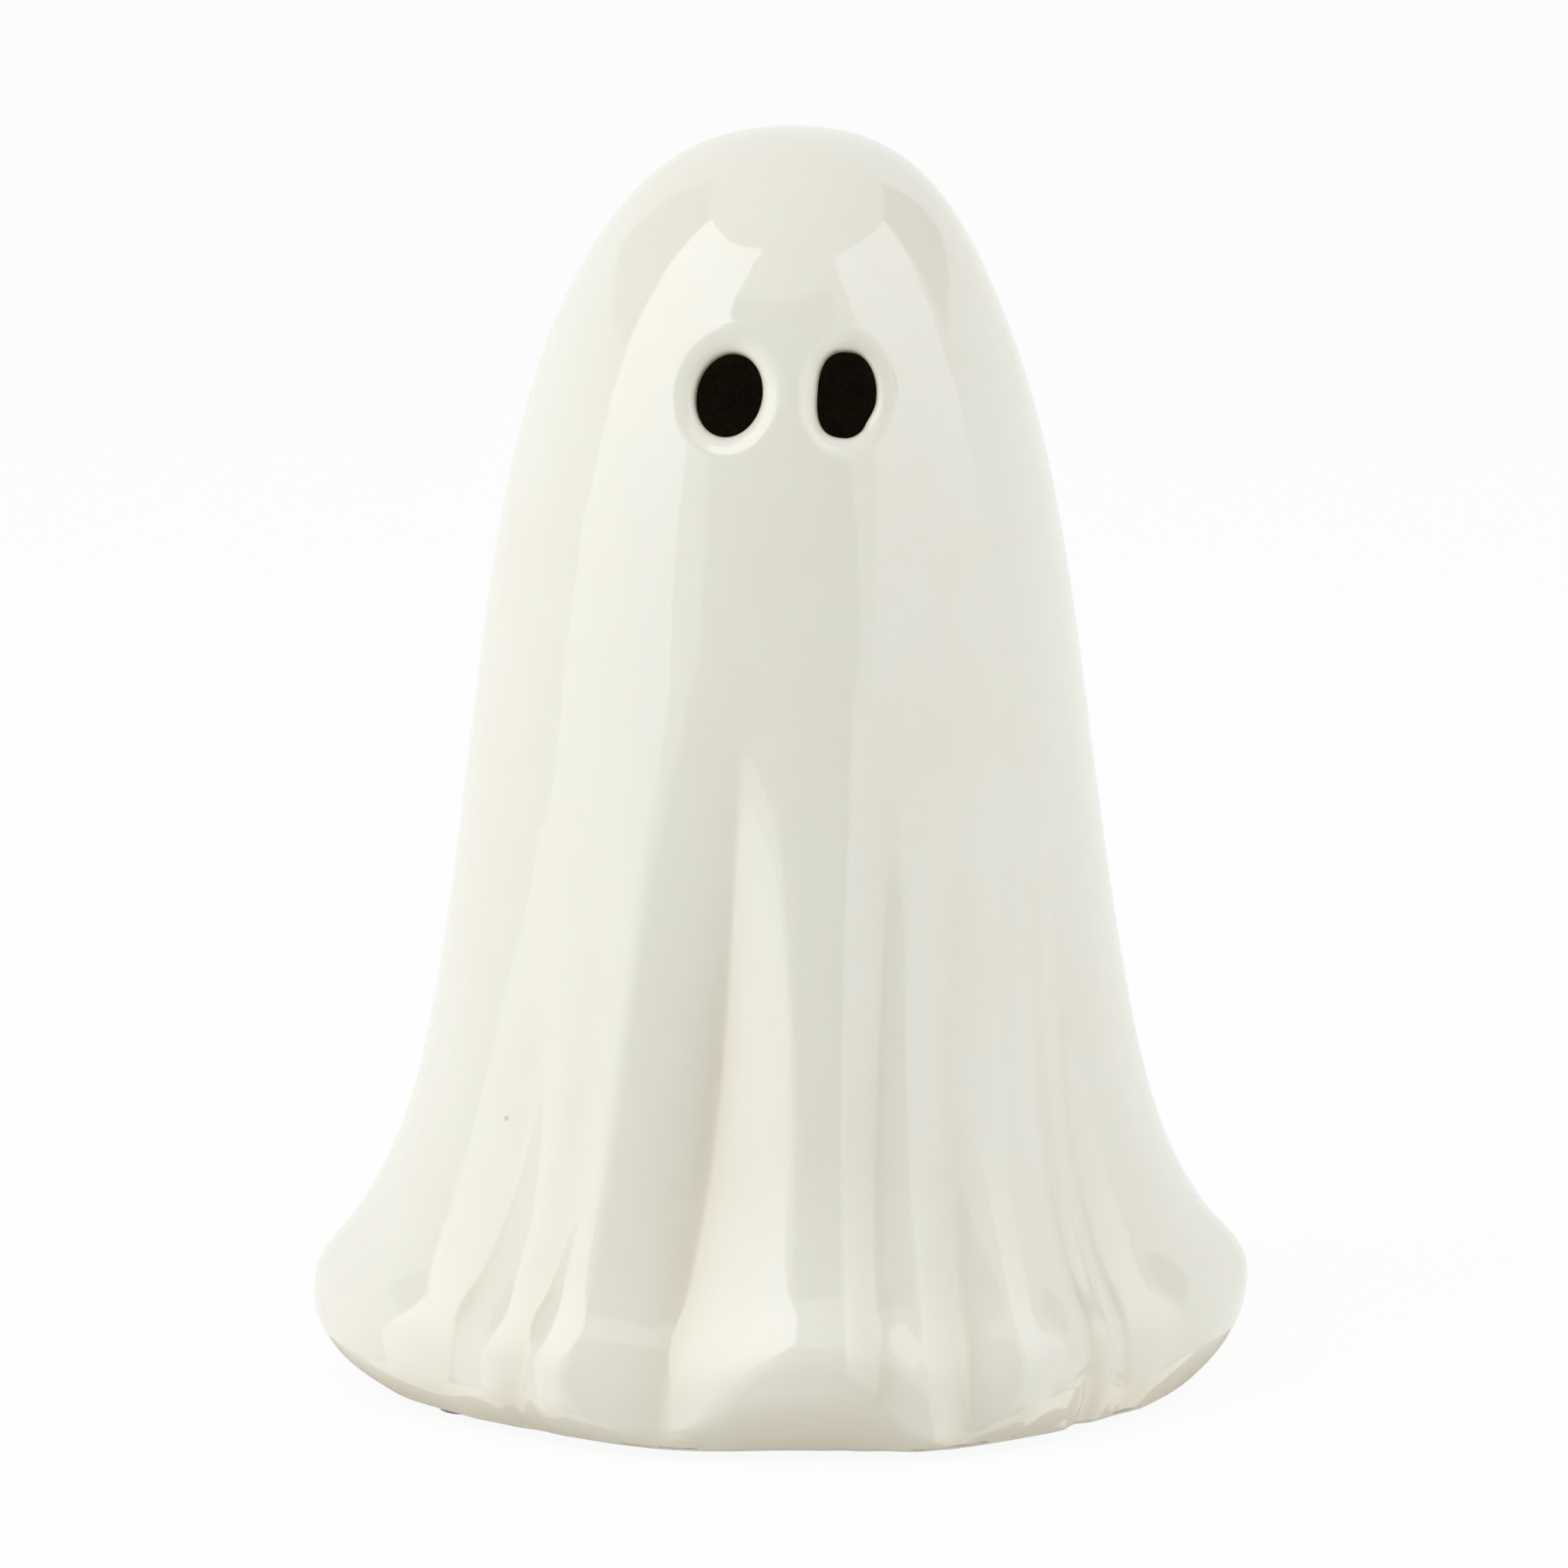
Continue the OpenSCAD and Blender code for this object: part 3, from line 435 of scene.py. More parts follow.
    def radius_at(self, z: Array, inside: bool = False) -> Array:
        """Radius of the plain body, or of the hollow in it, at heights z above the folds."""
        s = np.linspace(6, self.last, 900)
        point, slope = spline(self.steer, s)
        if inside:
            normal = np.stack([slope[:, 1], -slope[:, 0]], 1) / np.linalg.norm(slope, axis=1, keepdims=True)
            point = point - self.wall * normal
        return np.interp(z, point[:, 1], np.maximum(point[:, 0], 0))


def place(radius: Array, azimuth: Array, z: Array) -> Array:
    """Points on circles about the upright axis, azimuth in degrees from the front towards the right."""
    a = np.radians(azimuth)
    return np.stack([radius * np.sin(a), -radius * np.cos(a), np.broadcast_to(z, radius.shape)], -1)


def rounded_corners(corners: Array, radii: Sequence[float], steps: int = 4) -> Array:
    """Rings of a profile whose corners are rounded, for every column at once.

    Each corner P becomes the curve (1-t)^2 A + 2 t (1-t) P + t^2 B, where A and B lie the corner's radius
    back and forward along the profile's two straights.

    Args:
        corners: (k, columns, 2) radius and height of the profile's corners; the first and last stay.
        radii: rounding of each of the k - 2 inner corners.
        steps: spans in a rounding.

    Returns:
        (rings, columns, 2) radius and height.
    """
    rings = [corners[:1]]
    t = np.linspace(0, 1, steps + 1)[:, None, None]
    for i, radius in enumerate(radii, start=1):
        back = corners[i - 1] - corners[i]
        on = corners[i + 1] - corners[i]
        a = corners[i] + radius * back / np.linalg.norm(back, axis=1, keepdims=True)
        b = corners[i] + radius * on / np.linalg.norm(on, axis=1, keepdims=True)
        rings.append((1 - t)**2 * a + 2 * t * (1 - t) * corners[i] + t**2 * b)
    rings.append(corners[-1:])
    return np.concatenate(rings)


@dataclass(frozen=True)
class EyeHole:
    """A pierced eye, in millimetres and degrees: an oval hole, its soft lip and the thumbed dish round it."""

    side: Side
    azimuth: float
    lean: float
    width: float
    height: float
    square: float = 0.0
    notch: float = 0.0
    centre_z: float = 145.2
    turn: float = -5.0
    tilt: float = 14.0
    lip: float = 1.5
    dish: float = 0.75
    dish_reach: float = 3.4
    reach: float = 3.7
    inner_lip: float = 0.5

    def axes(self, form: SheetForm) -> tuple[Array, Array, Array, Array]:
        """Centre of the hole on the surface, its across and up directions, and the way out along it."""
        turn, tilt, lean = np.radians([self.turn, self.tilt, self.lean])
        out = np.array([np.cos(tilt) * np.sin(turn), -np.cos(tilt) * np.cos(turn), np.sin(tilt)])
        across = np.array([np.cos(turn), np.sin(turn), 0.0])
        up = np.cross(out, across)
        x = np.cos(lean) * across + np.sin(lean) * up
        y = np.cos(lean) * up - np.sin(lean) * across
        r = form.radius_at(np.array([self.centre_z]))
        centre = place(r, np.array([self.azimuth]), self.centre_z)[0]
        return centre, x, y, out

    def outline(self, angle: Array, grow: float = 0.0) -> Array:
        """Outline of the hole, grown outwards by grow: an oval, squarer on the left and notched low on the right.

        Args:
            angle: (n,) angles round the hole.
            grow: how far outside the hole's edge.

        Returns:
            (n, 2) across and up.
        """
        a, b = self.width / 2, self.height / 2
        power = np.where(np.cos(angle) < 0, 2 / (2 + self.square), 1.0)
        across = np.sign(np.cos(angle)) * np.abs(np.cos(angle))**power
        up = np.sign(np.sin(angle)) * np.abs(np.sin(angle))**power
        dent = self.notch * np.exp(-np.square((np.mod(angle + 0.62 + np.pi, 2 * np.pi) - np.pi) / 0.28))
        plain = np.stack([a * (1 - dent) * across, b * up], -1)
        normal = np.stack([np.cos(angle) / a, np.sin(angle) / b], -1)
        return plain + grow * normal / np.linalg.norm(normal, axis=1, keepdims=True)

    def on_surface(self, form: SheetForm, flat: Array, inside: bool) -> Array:
        """Points of the surface that lie along the hole's direction over points of its plane.

        The way along the hole is found by halving an interval until the distance from the upright axis
        equals the surface's radius at that height.

        Args:
            form: the sheet.
            flat: (n, 2) across and up in the hole's plane.
            inside: whether the hollow's surface is meant.

        Returns:
            (n, 3) points.
        """
        centre, x, y, out = self.axes(form)
        base = centre + flat[:, :1] * x + flat[:, 1:] * y
        low, high = np.full(len(flat), -24.0), np.full(len(flat), 16.0)
        for _ in range(44):
            middle = (low + high) / 2
            p = base + middle[:, None] * out
            beyond = np.hypot(p[:, 0], p[:, 1]) > form.radius_at(p[:, 2], inside)
            low, high = np.where(beyond, low, middle), np.where(beyond, middle, high)
        return base + ((low + high) / 2)[:, None] * out

    def to_plane(self, form: SheetForm, points: Array) -> Array:
        """Points seen along the hole: (n, 2) across and up from its centre."""
        centre, x, y, _ = self.axes(form)
        return np.stack([(points - centre) @ x, (points - centre) @ y], -1)

    def edge_distance(self, flat: Array) -> Array:
        """Rough distance of plane points outside the hole's edge: how far their oval has grown."""
        a, b = self.width / 2, self.height / 2
        size = np.hypot(flat[:, 0] / a, flat[:, 1] / b)
        return (size - 1) * np.linalg.norm(flat, axis=1) / np.maximum(size, 1e-6)

    def sink(self, form: SheetForm, points: Array) -> Array:
        """Presses the thumbed dish into outer points, along the hole: depth times a smooth bump of distance."""
        _, _, _, out = self.axes(form)
        near = np.clip(1 - self.edge_distance(self.to_plane(form, points)) / self.dish_reach, 0, 1)
        return points - (self.dish * near * near * (3 - 2 * near))[:, None] * out

    def rings(self, form: SheetForm, outer: Array, inner: Array) -> tuple[Array, Array, Array]:
        """Rings of points from a loop on the outside, over the lip and through the wall to a loop inside.

        Args:
            form: the sheet.
            outer: (n, 3) loop of points on the outer surface, in order round the hole.
            inner: (n, 3) matching loop on the inner surface.

        Returns:
            (rings, n, 3) points between the two loops, and for each ring its share of painted shade, a darker glaze
            tint in the hole's throat that is partly glaze pooling, and its bare share.
        """
        _, _, _, out = self.axes(form)
        a, b = self.width / 2, self.height / 2
        start = self.to_plane(form, outer)
        end = self.to_plane(form, inner)
        angle0 = np.unwrap(np.arctan2(start[:, 1] / b, start[:, 0] / a))
        angle1 = np.unwrap(np.arctan2(end[:, 1] / b, end[:, 0] / a))
        angle1 += 2 * np.pi * np.round((angle0[0] - angle1[0]) / (2 * np.pi))
        even = (angle0 + angle1) / 2
        parts, pool_shade, bare = [], [], []

        def add(points: Array, pooled_shade: float, unglazed: float) -> None:
            """Keeps one more ring and its shares."""
            parts.append(points)
            pool_shade.append(pooled_shade)
            bare.append(unglazed)

        for t in np.linspace(0, 1, 15)[1:-1]:
            edge = self.outline(angle0 + (even - angle0) * t, self.lip)
            flat = start + (edge - start) * (1 - (1 - t)**1.3)
            add(self.sink(form, self.on_surface(form, flat, False)), 0.0, 0.0)
        # From the lip's inner edge into the throat the darker glaze tint sets in fully: painted shade in the hole,
        # partly glaze pooling.
        for t in np.linspace(0, np.pi / 2, 9):
            flat = self.outline(even, self.lip * (1 - np.sin(t)))
            p = self.sink(form, self.on_surface(form, flat, False))
            add(p - self.lip * (1 - np.cos(t)) * out, max(0.0, 4 * np.sin(t) - 3), 0.0)
        mouth = parts[-1]
        far = self.on_surface(form, self.outline(even), True) + self.inner_lip * out
        for t in np.linspace(0, 1, 6)[1:]:
            add(mouth + (far - mouth) * t, 1.0, t)
        for t in np.linspace(0, np.pi / 2, 5)[1:]:
            flat = self.outline(even, self.inner_lip * (1 - np.cos(t)))
            add(self.on_surface(form, flat, True) + self.inner_lip * (1 - np.sin(t)) * out, 0.0, 1.0)
        for t in np.linspace(0, 1, 9)[1:-1]:
            edge = self.outline(even + (angle1 - even) * t, self.inner_lip)
            add(self.on_surface(form, edge + (end - edge) * t, True), 0.0, 1.0)
        return np.stack(parts), np.array(pool_shade), np.array(bare)


@dataclass
class GhostShell:
    """The slip-cast, glazed shell: one closed skin with its hollow, foot ring, recess, bore and two eyes."""

    form: SheetForm
    eyes: tuple[EyeHole, ...]
    body_rows: int = 150
    inner_rows: int = 120
    tuck_rows: int = 12
    recess_radius: float = 49.5
    recess_top: float = 5.4
    floor_top: float = 10.4
    bore_radius: float = 35.38
    # Painted shade: share of the darker glaze tint in the creases and on the turned-under hem, where shade falls,
    # partly glaze pooling.
    valley_pool_shade: float = 0.85
    turned_hem_shade: float = 0.55

    def skin(self) -> tuple[Array, Array, Array, int]:
        """Rings of the whole skin, from the crown down the outside, under the foot and up the inside.

        Returns:
            (rings, columns, 3) points, (rings, columns) share of painted shade as a darker glaze tint, partly glaze
            pooling, (rings,) share of bare clay, and how many of the rings lie on the outside of the body.
        """
        f = self.form
        s = np.linspace(f.last, 1, self.body_rows + 1)[1:]
        point, _ = spline(f.steer, s)
        azimuth, depth, pool_shade = f.surface(point[:, 1])
        outside = place(point[:, :1] + depth, azimuth, point[:, 1:] - f.drop(point[:, 1])) + f.sway(point[:, 1])[:, None]
        hem_azimuth, rim = azimuth[-1], point[-1, 0] + depth[-1]
        hem = f.hem_height - f.drop(point[-1:, 1])[0]
        foot = np.minimum(f.foot_radius * f.eased(7), rim - f.tuck * (hem - f.pad))
        t = np.linspace(1, 0.16, self.tuck_rows)[1:, None]
        tuck_r = foot + (rim - foot) * np.sin(np.pi / 2 * t)
        tuck_z = f.pad + (hem - f.pad) * t
        ia, ir, iz, sway = self.hollow()
        full = np.full(f.columns, 1.0)

        def corner(r: Array | float, z: Array | float) -> Array:
            """A corner of the underside at every column."""
            return np.stack([r * full, z * full], -1)

        under = rounded_corners(np.stack([
            corner(tuck_r[-1], tuck_z[-1]), corner(foot, f.pad), corner(self.recess_radius, f.pad),
            corner(self.recess_radius, self.recess_top), corner(self.bore_radius, self.recess_top),
            corner(self.bore_radius, self.floor_top), corner(ir[0], self.floor_top),
            corner(ir[0], iz[0])]), (1.0, 0.9, 0.8, 0.35, 0.35, 1.2))[1:-1]
        turn = (ia[0] + 180) % 360 - (hem_azimuth + 180) % 360
        mixed = hem_azimuth + ((turn + 180) % 360 - 180) * np.linspace(0, 1, len(under))[:, None]
        rings = np.concatenate([
            outside, place(tuck_r, np.broadcast_to(hem_azimuth, tuck_r.shape), tuck_z),
            place(under[..., 0], mixed, under[..., 1]), place(ir, ia, iz) + sway])
        # Painted shade as a darker glaze tint: in the creases, and on the turned-under hem's underside, where it faces
        # the floor in shade.
        pool_shades = np.zeros(rings.shape[:2])
        pool_shades[:len(outside)] = self.valley_pool_shade * pool_shade
        low = slice(len(outside), len(outside) + len(tuck_r))
        turned = np.clip((1 - t) / 0.5, 0, 1)
        pool_shades[low] = self.valley_pool_shade * pool_shade[-1] * (1 - turned) + self.turned_hem_shade * turned
        bare = np.zeros(len(rings))
        bare[low.stop + 3:] = 1.0
        return rings, pool_shades, bare, len(outside)

    def hollow(self) -> tuple[Array, Array, Array, Array]:
        """Inner face of the wall, above the floor's corner: the outer face moved in by the wall's thickness.

        Returns:
            (rows, columns) azimuths, radii and heights from the floor up, and the (rows, 1, 3) sway.
        """
        f = self.form
        point, slope = spline(f.steer, np.linspace(1, f.last, self.inner_rows + 2)[:-1])
        normal = np.stack([slope[:, 1], -slope[:, 0]], 1) / np.linalg.norm(slope, axis=1, keepdims=True)
        azimuth, depth, _ = f.surface(point[:, 1], f.inner_soft)
        radius = point[:, :1] - f.wall * normal[:, :1] + depth
        height = point[:, 1:] - f.wall * normal[:, 1:] - f.drop(point[:, 1])
        keep = height.min(axis=1) > self.floor_top + 1.8
        return azimuth[keep], radius[keep], height[keep], f.sway(point[keep, 1])[:, None]

    def window(self, rings: Array, first: int, last: int, centre: Array, half: tuple[float, float],
               size: tuple[int, int] | None = None) -> tuple[int, int, int, int]:
        """Rows and columns of the skin that a hole's patch replaces.

        Args:
            rings: the skin's points.
            first: first row of the surface meant.
            last: the row after its last.
            centre: middle of the hole on that surface.
            half: how far the patch reaches up and down, in millimetres, and to the sides, in degrees.
            size: rows and columns that the patch has to span, or None to take those within reach.

        Returns:
            First and last row, first and last column.
        """
        height = rings[first:last, 0, 2]
        row = first + int(np.argmin(np.abs(height - centre[2])))
        azimuth = np.degrees(np.unwrap(np.arctan2(rings[row, :, 0], -rings[row, :, 1])))
        middle = math.degrees(math.atan2(centre[0], -centre[1]))
        rows = np.flatnonzero(np.abs(height - centre[2]) < half[0])
        columns = np.flatnonzero(np.abs(azimuth - middle) < half[1])
        if size is None:
            return first + int(rows[0]), first + int(rows[-1]), int(columns[0]), int(columns[-1])
        span_z = (height[:-size[0]] + height[size[0]:]) / 2
        span_a = (azimuth[:-size[1]] + azimuth[size[1]:]) / 2
        r0 = first + int(np.argmin(np.abs(span_z - centre[2])))
        c0 = int(np.argmin(np.abs(span_a - middle)))
        return r0, r0 + size[0], c0, c0 + size[1]

    def build(self) -> bpy.types.Object:
        """Makes the skin, cuts a window for each eye in both faces of the wall and joins them through the hole."""
        f = self.form
        rings, pool_shades, bare, outside = self.skin()
        rows, columns = rings.shape[:2]
        inner_first = rows - len(self.hollow()[0])
        top = spline(f.steer, np.array([f.last]))[0][0, 1]
        tips = np.array([[f.crown_sway, 0, top], [f.crown_sway, 0, top - f.wall]])
        points = rings.reshape(-1, 3)
        quads = grid_quads(rows, columns)
        row_of, column_of = quads[:, 0] // columns, quads[:, 0] % columns
        extra, extra_faces, extra_pool_shade, extra_bare = [tips], [], [np.zeros(2)], [np.array([0.0, 1.0])]
        count = len(points) + 2
        for eye in self.eyes:
            half = (eye.height / 2 + eye.reach, math.degrees((eye.width / 2 + eye.reach) / 34.0))
            r0, r1, c0, c1 = self.window(rings, 0, outside // 2, eye.axes(f)[0], half)
            far = eye.on_surface(f, np.zeros((1, 2)), True)[0]
            q0, q1, d0, d1 = self.window(rings, inner_first + (rows - inner_first) // 3, rows, far, half, (r1 - r0, c1 - c0))
            outer = self.loop(np.arange(r0, r1 + 1), np.arange(c0, c1 + 1), columns)
            inner = self.loop(np.arange(q1, q0 - 1, -1), np.arange(d0, d1 + 1), columns)
            for a0, a1, b0, b1 in ((r0, r1, c0, c1), (q0, q1, d0, d1)):
                cut = (row_of >= a0) & (row_of < a1) & (column_of >= b0) & (column_of < b1)
                quads, row_of, column_of = quads[~cut], row_of[~cut], column_of[~cut]
            filled, pooled_shade, unglazed = eye.rings(f, points[outer], points[inner])
            k, n = filled.shape[:2]
            index = np.concatenate([outer[None], count + np.arange(k * n).reshape(k, n), inner[None]])
            i, c = np.meshgrid(np.arange(k + 1), np.arange(n), indexing="ij")
            after = (c + 1) % n
            extra_faces.append(np.stack(
                [index[i, c], index[i, after], index[i + 1, after], index[i + 1, c]], -1).reshape(-1, 4))
            extra.append(filled.reshape(-1, 3))
            extra_pool_shade.append(np.repeat(pooled_shade, n))
            extra_bare.append(np.repeat(unglazed, n))
            count += k * n
        points = np.concatenate([points, *extra])
        c = np.arange(columns)
        after = (c + 1) % columns
        crown = np.stack([np.full(columns, rows * columns), c, after], -1)
        roof = (rows - 1) * columns
        inside = np.stack([np.full(columns, rows * columns + 1), roof + after, roof + c], -1)
        faces, triangles = np.concatenate([quads, *extra_faces]), np.concatenate([crown, inside])
        used = np.zeros(len(points), bool)
        used[faces.ravel()] = True
        used[triangles.ravel()] = True
        new = np.cumsum(used) - 1
        piece = make_mesh("ghost_glazed_shell", points[used], new[faces], new[triangles])
        # The darker glaze tint's share: painted shade in the creases, under the hem and in the eyes' throats, partly
        # glaze pooling.
        point_attribute(piece, "pool_shade", np.concatenate([pool_shades.ravel(), *extra_pool_shade])[used])
        point_attribute(piece, "bare", np.concatenate([np.repeat(bare, columns), *extra_bare])[used])
        return piece

    @staticmethod
    def loop(rows: Array, columns: Array, width: int) -> Array:
        """Indices round a window: down its left side, along the bottom, up the right side and back."""
        return np.concatenate([
            rows[:-1] * width + columns[0], rows[-1] * width + columns[:-1],
            rows[:0:-1] * width + columns[-1], rows[0] * width + columns[:0:-1]])


# Finishes


class Sheet:
    """A short hand for laying out shader nodes in one tree."""

    def __init__(self, tree: bpy.types.NodeTree) -> None:
        """Works on the given tree."""
        self.tree = tree

    def node(self, kind: str, links: dict[str, object] | None = None, **settings: object) -> bpy.types.Node:
        """Adds a node, sets its properties, and sets or links its inputs.

        Args:
            kind: Blender's name of the node.
            links: for each input, by name or index, a socket to link or a value to set.
            **settings: properties of the node.

        Returns:
            The node.
        """
        made = self.tree.nodes.new(kind)
        for name, value in settings.items():
            setattr(made, name, value)
        for name, value in (links or {}).items():
            socket = made.inputs[int(name) if name.isdigit() else name]
            if isinstance(value, bpy.types.NodeSocket):
                self.tree.links.new(value, socket)
            else:
                socket.default_value = value
        return made

    def math(self, operation: str, a: object, b: object = 0.0, clamp: bool = False) -> bpy.types.NodeSocket:
        """A Math node's result."""
        return self.node("ShaderNodeMath", {"0": a, "1": b}, operation=operation, use_clamp=clamp).outputs[0]

    def ramp(self, value: object, low: float, high: float, out_low: float = 0.0,
             out_high: float = 1.0) -> bpy.types.NodeSocket:
        """A smooth step of a value from low to high, as out_low to out_high."""
        return self.node("ShaderNodeMapRange", {"0": value, "1": low, "2": high, "3": out_low, "4": out_high},
                         interpolation_type="SMOOTHSTEP").outputs[0]

    def blend(self, factor: object, a: object, b: object) -> bpy.types.NodeSocket:
        """A colour between a and b."""
        mix = self.node("ShaderNodeMix", {"0": factor}, data_type="RGBA")
        for index, value in ((6, a), (7, b)):
            if isinstance(value, bpy.types.NodeSocket):
                self.tree.links.new(value, mix.inputs[index])
            else:
                mix.inputs[index].default_value = (*value, 1.0)
        return mix.outputs[2]

    def object_place(self) -> bpy.types.NodeSocket:
        """Object coordinates, in metres."""
        return self.node("ShaderNodeTexCoord").outputs["Object"]


def new_group(name: str, inputs: dict[str, float], outputs: Sequence[str]) -> tuple[bpy.types.NodeTree, Sheet]:
    """An empty shader node group with value inputs and value outputs, and a vector input named Place."""
    tree = bpy.data.node_groups.new(name, "ShaderNodeTree")
    tree.interface.new_socket("Place", in_out="INPUT", socket_type="NodeSocketVector")
    for label, value in inputs.items():
        tree.interface.new_socket(label, in_out="INPUT", socket_type="NodeSocketFloat").default_value = value
    for label in outputs:
        tree.interface.new_socket(label, in_out="OUTPUT", socket_type="NodeSocketFloat")
    return tree, Sheet(tree)


def mottle_group() -> bpy.types.NodeTree:
    """Cloudy variation: two sizes of noise mixed, as a value about one half."""
    tree, sheet = new_group("cloudy_mottle", {"Scale": 60.0, "Fine Share": 0.4}, ["Value"])
    inlet = sheet.node("NodeGroupInput")
    wide = sheet.node("ShaderNodeTexNoise", {"Vector": inlet.outputs["Place"], "Scale": inlet.outputs["Scale"], "Detail": 3.0})
    finer = sheet.math("MULTIPLY", inlet.outputs["Scale"], 7.3)
    fine = sheet.node("ShaderNodeTexNoise", {"Vector": inlet.outputs["Place"], "Scale": finer, "Detail": 4.0})
    mix = sheet.node("ShaderNodeMix", {"0": inlet.outputs["Fine Share"], "2": wide.outputs["Fac"], "3": fine.outputs["Fac"]})
    sheet.node("NodeGroupOutput", {"Value": mix.outputs[0]})
    return tree


def speck_group() -> bpy.types.NodeTree:
    """Scattered round specks: cells of random points, of which a share holds a speck of random size."""
    tree, sheet = new_group("scattered_specks", {"Scale": 300.0, "Share": 0.1, "Size": 0.25}, ["Mask"])
    inlet = sheet.node("NodeGroupInput")
    cell = sheet.node("ShaderNodeTexVoronoi", {"Vector": inlet.outputs["Place"], "Scale": inlet.outputs["Scale"]})
    parts = sheet.node("ShaderNodeSeparateColor", {"Color": cell.outputs["Color"]})
    chosen = sheet.math("LESS_THAN", parts.outputs[0], inlet.outputs["Share"])
    size = sheet.math("MULTIPLY", sheet.math("ADD", parts.outputs[1], 0.35), inlet.outputs["Size"])
    ratio = sheet.math("DIVIDE", cell.outputs["Distance"], size)
    dot = sheet.ramp(ratio, 0.7, 1.0, 1.0, 0.0)
    sheet.node("NodeGroupOutput", {"Mask": sheet.math("MULTIPLY", dot, chosen)})
    return tree


def scuff_group() -> bpy.types.NodeTree:
    """Handling marks: thin stretched scratches and faint rubbed patches, as a value from 0 to 1."""
    tree, sheet = new_group("handling_scuffs", {"Scale": 220.0, "Amount": 0.5}, ["Value"])
    inlet = sheet.node("NodeGroupInput")
    stretch = sheet.node("ShaderNodeMapping", {"Vector": inlet.outputs["Place"], "Rotation": (0.3, 0.5, 0.7), "Scale": (1.0, 0.06, 0.3)})
    lines = sheet.node("ShaderNodeTexNoise", {"Vector": stretch.outputs[0], "Scale": sheet.math("MULTIPLY", inlet.outputs["Scale"], 6.0), "Detail": 2.0})
    patch = sheet.node("ShaderNodeTexNoise", {"Vector": inlet.outputs["Place"], "Scale": inlet.outputs["Scale"], "Detail": 3.0})
    thin = sheet.ramp(lines.outputs["Fac"], 0.66, 0.74)
    rubbed = sheet.ramp(patch.outputs["Fac"], 0.48, 0.7)
    total = sheet.math("MULTIPLY", sheet.math("ADD", sheet.math("MULTIPLY", thin, rubbed), sheet.math("MULTIPLY", rubbed, 0.35)), inlet.outputs["Amount"], clamp=True)
    sheet.node("NodeGroupOutput", {"Value": total})
    return tree


class Finishes:
    """Builds each finish once and keeps it."""

    def __init__(self) -> None:
        """Makes the shared node groups."""
        self.mottle = mottle_group()
        self.specks = speck_group()
        self.scuffs = scuff_group()
        self.made: dict[str, bpy.types.Material] = {}

    def effect(self, sheet: Sheet, tree: bpy.types.NodeTree, at: bpy.types.NodeSocket, **values: float) -> bpy.types.NodeSocket:
        """Places a shared effect in a material: spaces in input names are written as underscores."""
        group = sheet.node("ShaderNodeGroup", node_tree=tree)
        sheet.tree.links.new(at, group.inputs["Place"])
        for name, value in values.items():
            group.inputs[name.replace("_", " ")].default_value = value
        return group.outputs[0]

    def start(self, name: str) -> tuple[bpy.types.Material, Sheet, bpy.types.Node, bpy.types.NodeSocket]:
        """A new material, its node sheet, its Principled BSDF and its Object coordinates."""
        material = bpy.data.materials.new(name)
        material.use_nodes = True
        sheet = Sheet(material.node_tree)
        self.made[name] = material
        return material, sheet, material.node_tree.nodes["Principled BSDF"], sheet.object_place()


